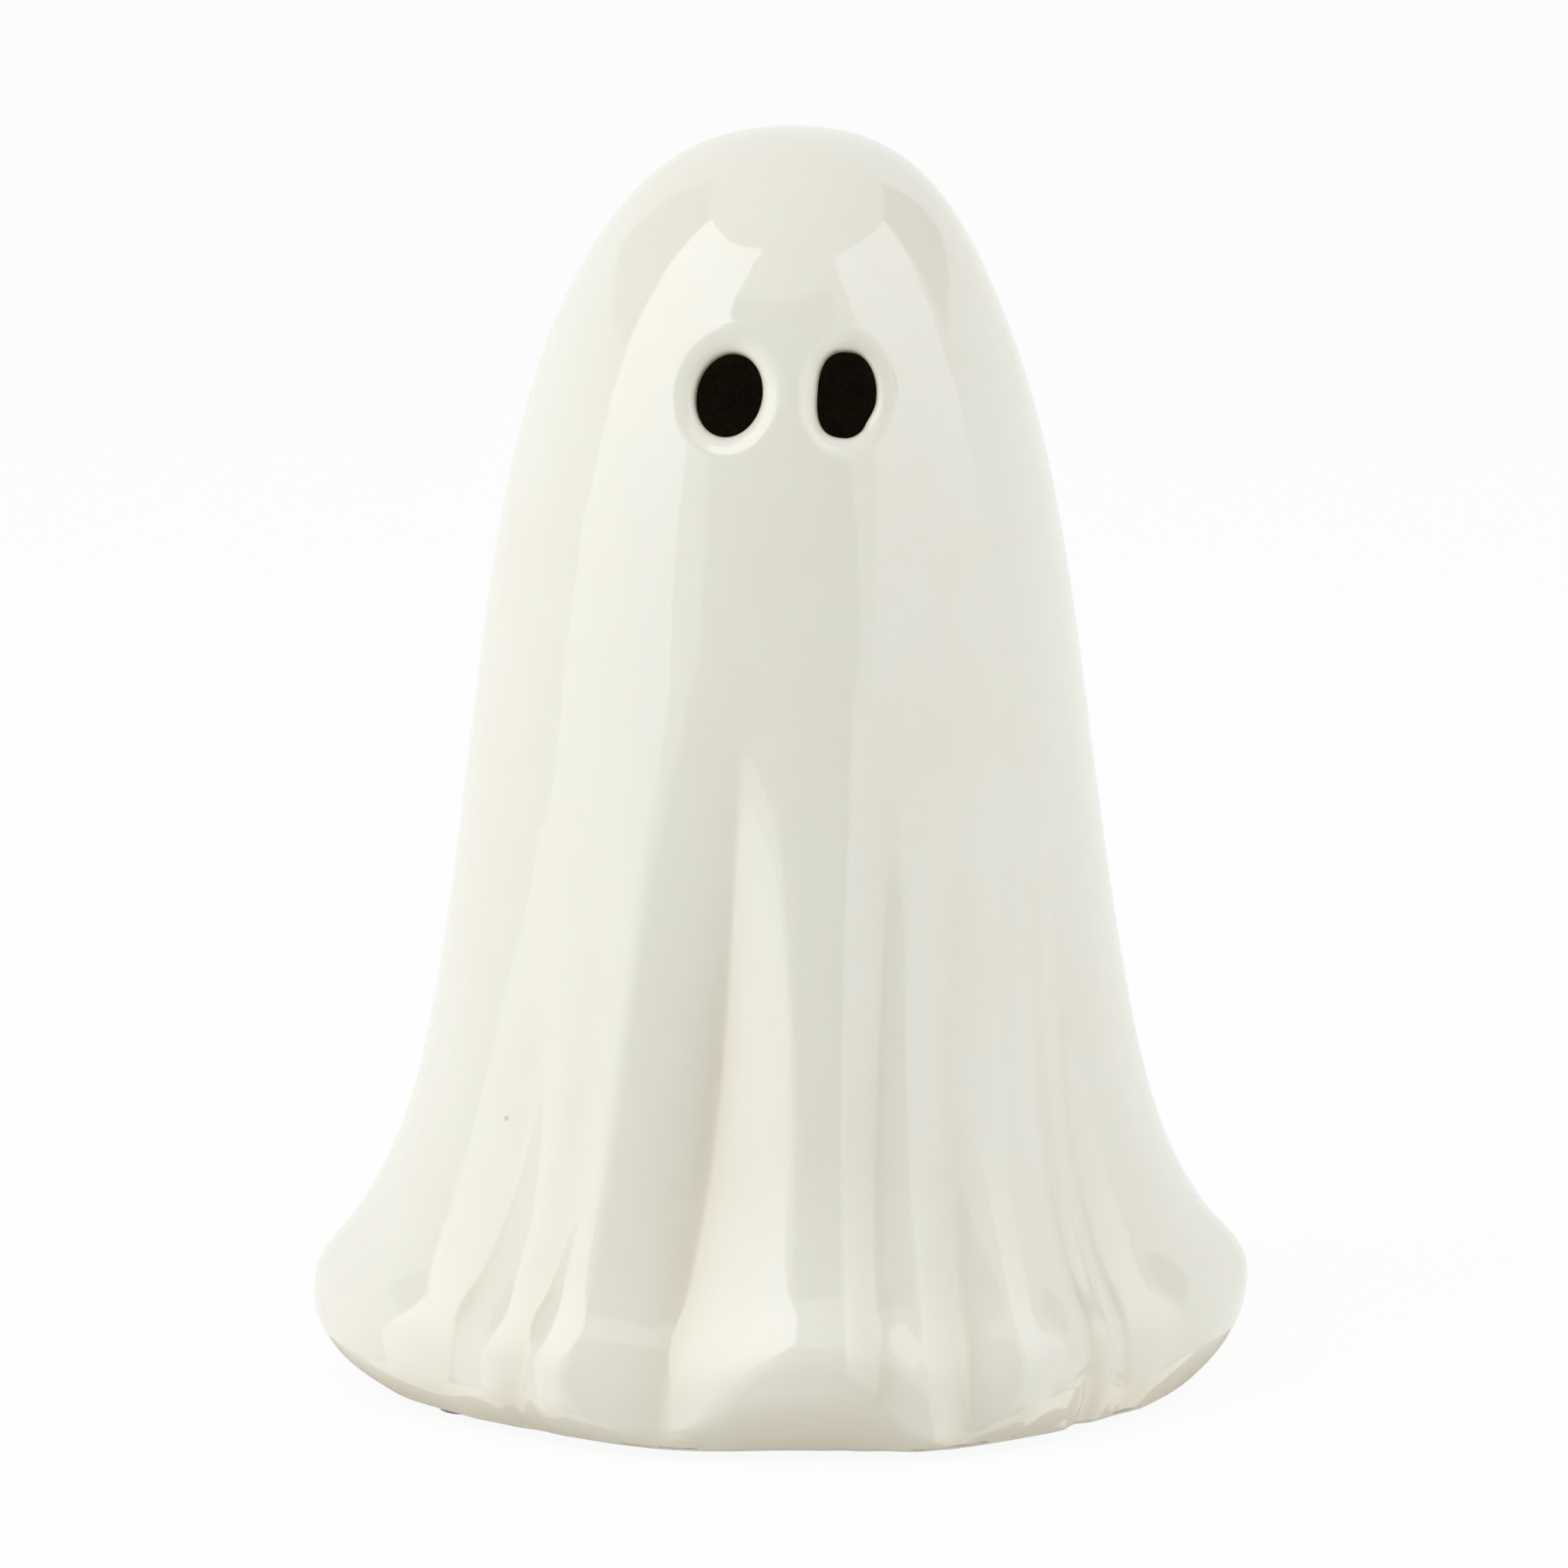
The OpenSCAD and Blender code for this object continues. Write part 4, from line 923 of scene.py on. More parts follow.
@dataclass(frozen=True)
class Glaze:
    """A glossy clear glaze over an ivory body, bare clay where the kiln shelf and the hollow are."""

    ivory: Colour = (0.80, 0.79, 0.705)
    # Darker tint laid as painted shade in creases, under the hem and in the eyes' throats, partly glaze pooling.
    pool_shade_tint: Colour = (0.72, 0.675, 0.54)
    clay: Colour = (0.66, 0.55, 0.42)
    speck: Colour = (0.30, 0.22, 0.14)
    ior: float = 1.62

    def build(self, finishes: Finishes) -> bpy.types.Material:
        """Lays out the glaze.

        The colour goes from ivory to a darker tint where the skin's attribute lays painted shade, partly glaze
        pooling, in the creases, under the hem and in the eyes' throats, with a cloudy variation and a few iron
        specks; bare clay takes over where the skin's own attribute says so.
        """
        material, sheet, shader, at = finishes.start("ivory_glaze")
        # Painted shade: the skin's share of the darker tint, partly glaze pooling.
        pool_shade = sheet.node("ShaderNodeAttribute", attribute_name="pool_shade").outputs["Fac"]
        bare = sheet.node("ShaderNodeAttribute", attribute_name="bare").outputs["Fac"]
        cloud = finishes.effect(sheet, finishes.mottle, at, Scale=34.0, Fine_Share=0.25)
        shade = sheet.math("ADD", pool_shade, sheet.ramp(cloud, 0.3, 0.7, -0.08, 0.14), clamp=True)
        colour = sheet.blend(shade, self.ivory, self.pool_shade_tint)
        dots = finishes.effect(sheet, finishes.specks, at, Scale=260.0, Share=0.012, Size=0.10)
        colour = sheet.blend(sheet.math("MULTIPLY", dots, 0.4), colour, self.speck)
        grain = sheet.node("ShaderNodeTexNoise", {"Vector": at, "Scale": 2600.0, "Detail": 4.0})
        edge = sheet.math("ADD", bare, sheet.ramp(cloud, 0.3, 0.7, -0.25, 0.25))
        open_clay = sheet.ramp(edge, 0.42, 0.58)
        clay = sheet.blend(sheet.ramp(grain.outputs["Fac"], 0.35, 0.65), self.clay, tuple(0.86 * c for c in self.clay))
        sheet.tree.links.new(sheet.blend(open_clay, colour, clay), shader.inputs["Base Color"])
        rough = sheet.ramp(cloud, 0.3, 0.75, 0.025, 0.06)
        rough = sheet.math("ADD", rough, sheet.math("MULTIPLY", open_clay, 0.75))
        sheet.tree.links.new(rough, shader.inputs["Roughness"])
        ripple = sheet.node("ShaderNodeTexNoise", {"Vector": at, "Scale": 95.0, "Detail": 1.5})
        peel = sheet.node("ShaderNodeTexNoise", {"Vector": at, "Scale": 420.0, "Detail": 1.0})
        height = sheet.math("ADD", ripple.outputs["Fac"], sheet.math("MULTIPLY", peel.outputs["Fac"], 0.10))
        pits = finishes.effect(sheet, finishes.specks, at, Scale=420.0, Share=0.02, Size=0.12)
        height = sheet.math("SUBTRACT", height, sheet.math("MULTIPLY", pits, 0.25))
        bump = sheet.node("ShaderNodeBump", {"Height": height, "Strength": 0.35, "Distance": 0.00035})
        tooth = sheet.node("ShaderNodeBump", {"Height": sheet.math("MULTIPLY", grain.outputs["Fac"], open_clay),
                                              "Strength": 0.5, "Distance": 0.00025, "Normal": bump.outputs[0]})
        sheet.tree.links.new(tooth.outputs[0], shader.inputs["Normal"])
        shader.inputs["IOR"].default_value = self.ior
        return material


@dataclass(frozen=True)
class Moulded:
    """Moulded plastic or rubber: a spark or foam texture, faint mottling and handling scuffs."""

    name: str
    colour: Colour
    rough: float = 0.42
    grain_scale: float = 2400.0
    grain_depth: float = 0.00006
    scuff: float = 0.4
    subsurface: float = 0.0
    foam: bool = False

    def build(self, finishes: Finishes) -> bpy.types.Material:
        """Lays out the finish: colour varied by mottling, roughness by scuffs, and a bump of fine grain."""
        material, sheet, shader, at = finishes.start(self.name)
        cloud = finishes.effect(sheet, finishes.mottle, at, Scale=140.0, Fine_Share=0.5)
        scuff = finishes.effect(sheet, finishes.scuffs, at, Scale=160.0, Amount=self.scuff)
        dark = tuple(0.88 * c for c in self.colour)
        worn = tuple(min(1.0, 1.08 * c + 0.015) for c in self.colour)
        colour = sheet.blend(sheet.ramp(cloud, 0.35, 0.65), self.colour, dark)
        colour = sheet.blend(scuff, colour, worn)
        sheet.tree.links.new(colour, shader.inputs["Base Color"])
        rough = sheet.math("ADD", sheet.ramp(cloud, 0.3, 0.7, self.rough - 0.05, self.rough + 0.06), sheet.math("MULTIPLY", scuff, 0.15), clamp=True)
        sheet.tree.links.new(rough, shader.inputs["Roughness"])
        if self.foam:
            cells = sheet.node("ShaderNodeTexVoronoi", {"Vector": at, "Scale": self.grain_scale})
            grain = cells.outputs["Distance"]
        else:
            grain = sheet.node("ShaderNodeTexNoise", {"Vector": at, "Scale": self.grain_scale, "Detail": 3.0}).outputs["Fac"]
        bump = sheet.node("ShaderNodeBump", {"Height": grain, "Strength": 0.6, "Distance": self.grain_depth})
        sheet.tree.links.new(bump.outputs[0], shader.inputs["Normal"])
        shader.inputs["Subsurface Weight"].default_value = self.subsurface
        shader.inputs["Subsurface Scale"].default_value = 0.002
        return material


@dataclass(frozen=True)
class PlatedMetal:
    """Plated sheet or wire: fine drawing lines, a cloudy bloom and small dull spots."""

    name: str
    colour: Colour
    rough: float = 0.24
    stretch: tuple[float, float, float] = (1.0, 0.08, 1.0)

    def build(self, finishes: Finishes) -> bpy.types.Material:
        """Lays out the finish: stretched noise gives drawing lines in roughness and bump."""
        material, sheet, shader, at = finishes.start(self.name)
        lines = sheet.node("ShaderNodeMapping", {"Vector": at, "Scale": self.stretch})
        grain = sheet.node("ShaderNodeTexNoise", {"Vector": lines.outputs[0], "Scale": 5200.0, "Detail": 2.0}).outputs["Fac"]
        cloud = finishes.effect(sheet, finishes.mottle, at, Scale=260.0, Fine_Share=0.5)
        spots = finishes.effect(sheet, finishes.specks, at, Scale=900.0, Share=0.08, Size=0.25)
        dull = tuple(0.72 * c for c in self.colour)
        colour = sheet.blend(sheet.ramp(cloud, 0.35, 0.7), self.colour, dull)
        colour = sheet.blend(sheet.math("MULTIPLY", spots, 0.5), colour, tuple(0.5 * c for c in self.colour))
        sheet.tree.links.new(colour, shader.inputs["Base Color"])
        rough = sheet.math("ADD", sheet.ramp(grain, 0.3, 0.7, self.rough - 0.06, self.rough + 0.1), sheet.math("MULTIPLY", spots, 0.2))
        sheet.tree.links.new(rough, shader.inputs["Roughness"])
        bump = sheet.node("ShaderNodeBump", {"Height": grain, "Strength": 0.4, "Distance": 0.00002})
        sheet.tree.links.new(bump.outputs[0], shader.inputs["Normal"])
        shader.inputs["Metallic"].default_value = 1.0
        return material


@dataclass(frozen=True)
class CellSleeve:
    """A battery cell: a printed-free sleeve with one pale band, and bare plated ends."""

    name: str
    centre: float
    plus: float
    half: float = 0.02225
    sleeve: Colour = (0.035, 0.15, 0.10)
    band: Colour = (0.62, 0.46, 0.16)
    steel: Colour = (0.66, 0.65, 0.62)

    def build(self, finishes: Finishes) -> bpy.types.Material:
        """Lays out the cell: masks along its length choose steel, band or sleeve."""
        material, sheet, shader, at = finishes.start(self.name)
        x = sheet.node("ShaderNodeSeparateXYZ", {"Vector": at}).outputs[0]
        along = sheet.math("MULTIPLY", sheet.math("SUBTRACT", x, self.centre), self.plus / self.half)
        band = sheet.math("MULTIPLY", sheet.ramp(along, 0.50, 0.505), sheet.ramp(along, 0.935, 0.93))
        ends = sheet.ramp(sheet.math("ABSOLUTE", along), 0.938, 0.942)
        scuff = finishes.effect(sheet, finishes.scuffs, at, Scale=260.0, Amount=0.5)
        colour = sheet.blend(band, self.sleeve, self.band)
        colour = sheet.blend(sheet.math("MULTIPLY", scuff, 0.4), colour, (0.5, 0.5, 0.46))
        sheet.tree.links.new(sheet.blend(ends, colour, self.steel), shader.inputs["Base Color"])
        sheet.tree.links.new(sheet.math("MAXIMUM", ends, sheet.math("MULTIPLY", band, 0.85)), shader.inputs["Metallic"])
        sheet.tree.links.new(sheet.math("ADD", sheet.math("MULTIPLY", scuff, 0.25), 0.26), shader.inputs["Roughness"])
        wrap = sheet.node("ShaderNodeTexNoise", {"Vector": at, "Scale": 900.0, "Detail": 2.0})
        bump = sheet.node("ShaderNodeBump", {"Height": wrap.outputs["Fac"], "Strength": 0.3, "Distance": 0.00004})
        sheet.tree.links.new(bump.outputs[0], shader.inputs["Normal"])
        return material


@dataclass(frozen=True)
class CircuitMask:
    """A circuit board: solder mask over a glass weave, with tracks that show as a paler, raised pattern."""

    mask: Colour = (0.012, 0.085, 0.035)
    track: Colour = (0.03, 0.16, 0.07)

    def build(self, finishes: Finishes) -> bpy.types.Material:
        """Lays out the board: a brick pattern's joints are the gaps between the tracks, under a fine weave."""
        material, sheet, shader, at = finishes.start("solder_mask")
        brick = sheet.node("ShaderNodeTexBrick", {"Vector": at, "Scale": 300.0, "Mortar Size": 0.05, "Mortar Smooth": 0.2,
                                                  "Brick Width": 1.7, "Row Height": 0.42}, offset=0.37)
        tracks = sheet.ramp(brick.outputs["Fac"], 0.3, 0.7, 1.0, 0.0)
        sheet.tree.links.new(sheet.blend(tracks, self.mask, self.track), shader.inputs["Base Color"])
        weave = sheet.node("ShaderNodeTexWave", {"Vector": at, "Scale": 900.0, "Distortion": 0.6}).outputs["Fac"]
        height = sheet.math("ADD", sheet.math("MULTIPLY", weave, 0.15), tracks)
        bump = sheet.node("ShaderNodeBump", {"Height": height, "Strength": 0.5, "Distance": 0.00004})
        sheet.tree.links.new(bump.outputs[0], shader.inputs["Normal"])
        cloud = finishes.effect(sheet, finishes.mottle, at, Scale=300.0, Fine_Share=0.5)
        sheet.tree.links.new(sheet.ramp(cloud, 0.3, 0.7, 0.2, 0.34), shader.inputs["Roughness"])
        return material


@dataclass(frozen=True)
class ClearResin:
    """A clear or frosted resin for the lamp and its lens."""

    name: str
    colour: Colour
    rough: float
    clear: float

    def build(self, finishes: Finishes) -> bpy.types.Material:
        """Lays out the resin: light passes it, and a fine frost roughens it in a cloudy pattern."""
        material, sheet, shader, at = finishes.start(self.name)
        cloud = finishes.effect(sheet, finishes.mottle, at, Scale=400.0, Fine_Share=0.6)
        sheet.tree.links.new(sheet.ramp(cloud, 0.3, 0.7, self.rough, self.rough + 0.12), shader.inputs["Roughness"])
        sheet.tree.links.new(sheet.blend(cloud, self.colour, tuple(0.9 * c for c in self.colour)), shader.inputs["Base Color"])
        frost = sheet.node("ShaderNodeTexNoise", {"Vector": at, "Scale": 3200.0, "Detail": 2.0})
        bump = sheet.node("ShaderNodeBump", {"Height": frost.outputs["Fac"], "Strength": 0.3, "Distance": 0.00003})
        sheet.tree.links.new(bump.outputs[0], shader.inputs["Normal"])
        shader.inputs["Transmission Weight"].default_value = self.clear
        shader.inputs["IOR"].default_value = 1.5
        return material


# The light unit's details


@dataclass(frozen=True)
class UnitSizes:
    """Sizes and places of the light unit, in millimetres, as its solids have them."""

    pad_t: float = 1.2
    plate_z: float = 4.0
    pad_r: float = 3.4
    pad_ring_r: float = 53.3
    pad_azimuth: float = 57.0
    tray_half_l: float = 24.9
    contact_t: float = 0.4
    cell_y: float = 5.65
    cell_z: float = 9.65
    spring_l: float = 4.4
    spring_turns: float = 3.5
    wire_r: float = 0.3
    spring_foot_r: float = 3.3
    spring_head_r: float = 2.2
    tray_top: float = 16.5
    lead_r: float = 0.55
    lead_side_y: float = 13.15
    lead_end_y: float = 16.8
    board_top: float = 8.7
    board_y: float = 20.7
    lamp_board_r: float = 7.0
    lamp_board_top: float = 17.7
    gap: float = 0.05

    @property
    def contact_x(self) -> float:
        """Place of the end contacts along X."""
        return self.tray_half_l - self.contact_t


DROP = np.array([[-0.16, 0.008], [0, 0.09], [0.02, 0.3], [0.2, 0.55], [0.6, 0.72], [0.95, 0.8], [1, 0.88], [1, 1]])


@dataclass
class FootPads:
    """Four stuck-on foam discs with pressed, slightly crowned faces."""

    sizes: UnitSizes

    def build(self) -> bpy.types.Object:
        """One object of four closed discs: each a rounded profile swept about its own centre."""
        r, t, e = self.sizes.pad_r, self.sizes.pad_t, 0.28
        a = np.linspace(0, np.pi / 2, 6)
        low = [(0.02, 0.0), (r * 0.6, 0.0)] + [(r - e + e * math.sin(k), e - e * math.cos(k)) for k in a]
        high = [(r - 0.12 + 0.12 * math.cos(k), t - 0.12 + 0.12 * math.sin(k)) for k in a] + [(r * 0.6, t), (0.02, t)]
        discs = []
        front = self.sizes.pad_azimuth
        for azimuth in (front, 180 - front, front - 180, -front):
            angle = math.radians(azimuth)
            centre = (self.sizes.pad_ring_r * math.sin(angle), -self.sizes.pad_ring_r * math.cos(angle), 0.0)
            discs.append(turned_piece(f"pad_{len(discs)}", low + high, centre, columns=48))
        return join_pieces("foam_foot_pads", discs)


def join_pieces(name: str, pieces: Sequence[bpy.types.Object]) -> bpy.types.Object:
    """Joins objects that lie at the origin into one, by putting their points and faces one after another.

    Args:
        name: name of the new object.
        pieces: the objects, which are removed.

    Returns:
        The joined object.
    """
    points, quads, triangles, start = [], [], [], 0
    for piece in pieces:
        mesh = piece.data
        co = np.empty(len(mesh.vertices) * 3, np.float32)
        mesh.vertices.foreach_get("co", co)
        loops = np.empty(len(mesh.loops), np.int32)
        mesh.loops.foreach_get("vertex_index", loops)
        sizes = np.empty(len(mesh.polygons), np.int32)
        mesh.polygons.foreach_get("loop_total", sizes)
        fours = np.repeat(sizes == 4, sizes)
        points.append(co.reshape(-1, 3).astype(float) / MM)
        quads.append(loops[fours].reshape(-1, 4) + start)
        triangles.append(loops[~fours].reshape(-1, 3) + start)
        start += len(mesh.vertices)
        bpy.data.objects.remove(piece)
    return make_mesh(name, np.concatenate(points), np.concatenate(quads), np.concatenate(triangles))


@dataclass
class BatterySprings:
    """The two conical springs that press on the cells."""

    sizes: UnitSizes

    def coil(self, name: str, base: tuple[float, float, float], way: float) -> bpy.types.Object:
        """One spring: a helix whose radius shrinks evenly as it climbs away from its contact."""
        s = self.sizes
        t = np.linspace(0, 1, 170)
        radius = s.spring_foot_r + (s.spring_head_r - s.spring_foot_r) * t
        rise = s.wire_r + s.gap + (s.spring_l - 2 * (s.wire_r + s.gap)) * t
        turn = 2 * np.pi * s.spring_turns * t
        path = np.stack([base[0] + way * rise, base[1] + way * radius * np.cos(turn), base[2] + radius * np.sin(turn)], -1)
        return tube_piece(name, path, s.wire_r, 10)

    def build(self) -> dict[str, bpy.types.Object]:
        """Both springs, by the node that each stands for."""
        s = self.sizes
        return {
            "bridge_spring": self.coil("wound_bridge_spring", (s.contact_t - s.tray_half_l, s.cell_y, s.cell_z), 1.0),
            "negative_spring": self.coil("wound_negative_spring", (s.contact_x, -s.cell_y, s.cell_z), -1.0),
        }


@dataclass
class Leads:
    """The four insulated leads, each soldered at both ends."""

    sizes: UnitSizes

    def path(self, start: Array, route: Array, x: float) -> Array:
        """Middle of a lead: over the tray's top along the route, down past its side and on to the board at x."""
        s = self.sizes
        z = s.tray_top + s.lead_r + s.gap
        end_z = s.board_top + s.gap
        drop = np.stack([np.full(len(DROP), x), s.lead_side_y + DROP[:, 0] * (s.lead_end_y - s.lead_side_y),
                         z - DROP[:, 1] * (z - end_z)], -1)
        over = np.column_stack([route, np.full(len(route), z)])
        return smooth_path(np.concatenate([[[*start, z]], over, drop]), 6)

    def build(self) -> dict[str, bpy.types.Object]:
        """All four leads, by the node that each stands for."""
        s = self.sizes
        near = s.contact_x - s.lead_r - s.gap
        red = np.array([[0.9, 0.52], [0.67, 0.68], [0.42, 0.8], [0.27, 0.88]]) * [s.contact_x, s.lead_side_y]
        black = np.array([[0.91, -0.33], [0.77, -0.08], [0.62, 0.3], [0.42, 0.62], [0.24, 0.8], [0.155, 0.9]])
        black = black * [s.contact_x, s.lead_side_y]
        lamp = np.array([0.62, 0.75, 0.9]) * s.lead_side_y
        out = s.lamp_board_r + s.lead_r
        paths = {
            "battery_lead_red": self.path(np.array([near, s.cell_y]), red, 5.6),
            "battery_lead_black": self.path(np.array([near, -s.cell_y]), black, 3.2),
            "lamp_lead_red": self.path(np.array([-0.8, out]), np.column_stack([np.full(3, -0.8), lamp]), -0.8),
            "lamp_lead_black": self.path(np.array([0.8, out]), np.column_stack([np.full(3, 0.8), lamp]), 0.8),
        }
        return {node: tube_piece(f"sleeved_{node}", path, s.lead_r, 14) for node, path in paths.items()}


@dataclass
class SolderJoints:
    """Small bright cones of solder where the leads meet the circuit board and the lamp board."""

    sizes: UnitSizes

    def cone(self, name: str, x: float, y: float, z: float, r: float = 0.85, h: float = 0.7) -> bpy.types.Object:
        """One joint: a concave cone, radius r (1 - t)^1.6 at height h t."""
        t = np.linspace(0, 0.94, 9)
        profile = [(0.02, 0.0)] + [(r * (1 - k) ** 1.6 + 0.06, h * k) for k in t] + [(0.02, h)]
        return turned_piece(name, profile, (x, y, z), columns=20)

    def build(self) -> bpy.types.Object:
        """All the joints as one object."""
        s = self.sizes
        places = [(x, s.lead_end_y + 1.25, s.board_top) for x in (5.6, 3.2, -0.8, 0.8)]
        places += [(-0.8, s.lamp_board_r - 1.2, s.lamp_board_top), (0.8, s.lamp_board_r - 1.2, s.lamp_board_top)]
        cones = [self.cone(f"joint_{i}", x, y, z, 0.7 if i > 1 else 0.85) for i, (x, y, z) in enumerate(places)]
        return join_pieces("solder_joints", cones)


@dataclass
class ChipLegs:
    """The eight bent legs of the timer chip."""

    sizes: UnitSizes

    def build(self) -> bpy.types.Object:
        """Legs along both long sides, each a swept strip that leaves the body, drops and lies on the board."""
        s = self.sizes
        legs = []
        for i in range(4):
            for way in (-1.0, 1.0):
                x = -2.6 - 1.9 + 1.27 * i
                y = s.board_y + way * 2.0
                knots = np.array([[x, y + way * 0.02, s.board_top + 0.75], [x, y + way * 0.35, s.board_top + 0.72],
                                  [x, y + way * 0.55, s.board_top + 0.35], [x, y + way * 0.75, s.board_top + 0.14],
                                  [x, y + way * 1.15, s.board_top + 0.13]])
                legs.append(tube_piece(f"leg_{i}_{way}", smooth_path(knots, 4), 0.13, 8))
        return join_pieces("chip_legs", legs)


@dataclass
class DoorGrip:
    """Five low ribs across the battery door, for a finger."""

    sizes: UnitSizes

    def build(self) -> bpy.types.Object:
        """Ribs near the screw's end of the door, each a long rounded bar half sunk in the door."""
        bars = []
        for i in range(5):
            x = 12.5 + 1.7 * i
            bars.append(cushion_rod(f"rib_{i}", x, 5.5, self.sizes.pad_t))
        return join_pieces("door_grip_ribs", bars)


def cushion_rod(name: str, x: float, half: float, z: float) -> bpy.types.Object:
    """A bar along Y with round ends, its middle at height z."""
    path = np.stack([np.full(13, x), np.linspace(-half, half, 13), np.full(13, z)], -1)
    return tube_piece(name, path, 0.35, 12)


# Studio


@dataclass(frozen=True)
class SoftPanel:
    """A large soft light seen from the figure: rows of the elevation and azimuth of both its edges, in degrees.

    Its strength eases from low, where it meets the floor, to strength at its top.
    """

    name: str
    rows: tuple[tuple[float, float, float, float], ...]
    strength: float
    low: float | None = None
    distance: float = 1.3
    colour: Colour = (1.0, 1.0, 1.0)
    lights: bool = True

    def build(self) -> bpy.types.Object:
        """Makes the panel as a patch of a sphere about the figure: directions run evenly from edge to edge."""
        rows = np.array(self.rows)
        step = np.linspace(0, len(rows) - 1, 29)
        edges = [np.interp(step, np.arange(len(rows)), rows[:, i])[:, None] for i in range(4)]
        t = np.linspace(0, 1, 17)
        e = np.radians(edges[0] * (1 - t) + edges[2] * t)
        a = np.radians(edges[1] * (1 - t) + edges[3] * t)
        points = np.stack([np.sin(a) * np.cos(e), -np.cos(a) * np.cos(e), np.sin(e)], -1) * self.distance
        points += np.array([0.0, 0.0, 0.08])
        piece = make_mesh(self.name, points.reshape(-1, 3) / MM, grid_quads(29, len(t), closed=False))
        material = bpy.data.materials.new(self.name)
        material.use_nodes = True
        material.node_tree.nodes.clear()
        sheet = Sheet(material.node_tree)
        height = sheet.node("ShaderNodeSeparateXYZ", {"Vector": sheet.object_place()}).outputs[2]
        low = self.strength if self.low is None else self.low
        strength = sheet.ramp(height, 0.05, 0.85 * self.distance, low, self.strength)
        glow = sheet.node("ShaderNodeEmission", {"Color": (*self.colour, 1.0), "Strength": strength})
        sheet.node("ShaderNodeOutputMaterial", {"Surface": glow.outputs[0]})
        piece.data.materials.append(material)
        piece.visible_camera = False
        piece.visible_diffuse = piece.visible_shadow = self.lights
        return piece


@dataclass(frozen=True)
class Studio:
    """Pale floor, plain surroundings and soft panels."""

    panels: tuple[SoftPanel, ...]
    front: float = 0.48
    back: float = 0.71
    overhead: float = 0.06
    floor_white: float = 0.92
    floor_lift: float = 0.93
    floor_radius: float = 3000.0
    floor_opening: float = 47.0
    floor_z: float = -0.05
    floor_sides: int = 96

    def floor(self) -> None:
        """A wide plane whose colour is lifted to white for the camera and reflections, with the shadow kept.

        From below it is clear, and it is open under the figure, so that the underside can be looked at.
        """
        turn = np.arange(self.floor_sides) * 360 / self.floor_sides
        edges = [place(np.full(len(turn), r), turn, self.floor_z) for r in (self.floor_opening, self.floor_radius)]
        piece = make_mesh("pale_floor", np.concatenate(edges), grid_quads(2, len(turn)))
        material = bpy.data.materials.new("pale_floor")
        material.use_nodes = True
        material.node_tree.nodes.clear()
        sheet = Sheet(material.node_tree)
        path = sheet.node("ShaderNodeLightPath")
        seen = sheet.math("MAXIMUM", path.outputs["Is Camera Ray"], path.outputs["Is Glossy Ray"])
        seen = sheet.math("MAXIMUM", seen, path.outputs["Is Transmission Ray"])
        white = (self.floor_white,) * 3 + (1.0,)
        plain = sheet.node("ShaderNodeBsdfDiffuse", {"Color": white})
        glow = sheet.node("ShaderNodeEmission", {"Color": (1.0, 1.0, 1.0, 1.0), "Strength": 1.0})
        mix = sheet.node("ShaderNodeMixShader", {"0": sheet.math("MULTIPLY", seen, self.floor_lift),
                                                 "1": plain.outputs[0], "2": glow.outputs[0]})
        below = sheet.math("MULTIPLY", sheet.node("ShaderNodeNewGeometry").outputs["Backfacing"],
                           path.outputs["Is Camera Ray"])
        clear = sheet.node("ShaderNodeBsdfTransparent")
        sides = sheet.node("ShaderNodeMixShader", {"0": below, "1": mix.outputs[0], "2": clear.outputs[0]})
        sheet.node("ShaderNodeOutputMaterial", {"Surface": sides.outputs[0]})
        piece.data.materials.append(material)
        piece.visible_glossy = False

    def world(self) -> None:
        """Plain surroundings, lighter behind and overhead, white where the camera or a reflection sees them."""
        world = bpy.data.worlds.new("studio")
        bpy.context.scene.world = world
        world.use_nodes = True
        world.node_tree.nodes.clear()
        sheet = Sheet(world.node_tree)
        path = sheet.node("ShaderNodeLightPath")
        seen = sheet.math("MAXIMUM", path.outputs["Is Camera Ray"], path.outputs["Is Glossy Ray"])
        seen = sheet.math("MAXIMUM", seen, path.outputs["Is Transmission Ray"])
        way = sheet.node("ShaderNodeSeparateXYZ", {"Vector": sheet.node("ShaderNodeTexCoord").outputs["Generated"]})
        sky = sheet.math("ADD", sheet.ramp(way.outputs[1], -0.8, 0.3, self.front, self.back),
                         sheet.ramp(way.outputs[2], 0.1, 1.0, 0.0, self.overhead))
        strength = sheet.node("ShaderNodeMix", {"0": seen, "2": sky, "3": 1.0}).outputs[0]
        light = sheet.node("ShaderNodeBackground", {"Color": (1.0, 1.0, 1.0, 1.0), "Strength": strength})
        sheet.node("ShaderNodeOutputWorld", {"Surface": light.outputs[0]})

    def build(self) -> None:
        """Makes the floor, the surroundings and the panels."""
        self.floor()
        self.world()
        for panel in self.panels:
            panel.build()


@dataclass(frozen=True)
class PhotoCamera:
    """Camera at the photograph's angle, in metres and degrees."""

    azimuth: float = 0.0
    elevation: float = 11.0
    distance: float = 1.2
    target: tuple[float, float, float] = (0.0, 0.0, 0.0841)
    frame_width: float = 0.2235
    shift_x: float = 4 / 1800

    def build(self) -> None:
        """Makes the camera: its focal length gives the frame's width at the target."""
        data = bpy.data.cameras.new("photo_camera")
        camera = bpy.data.objects.new("photo_camera", data)
        bpy.context.scene.collection.objects.link(camera)
        a, e = math.radians(self.azimuth), math.radians(self.elevation)
        way = np.array([math.sin(a) * math.cos(e), -math.cos(a) * math.cos(e), math.sin(e)])
        camera.location = np.array(self.target) + self.distance * way
        camera.rotation_euler = (math.pi / 2 - e, 0.0, a)
        data.sensor_width = 36.0
        data.lens = 36.0 * self.distance / self.frame_width
        data.shift_x = self.shift_x
        data.clip_start = 0.01
        bpy.context.scene.camera = camera


# Building


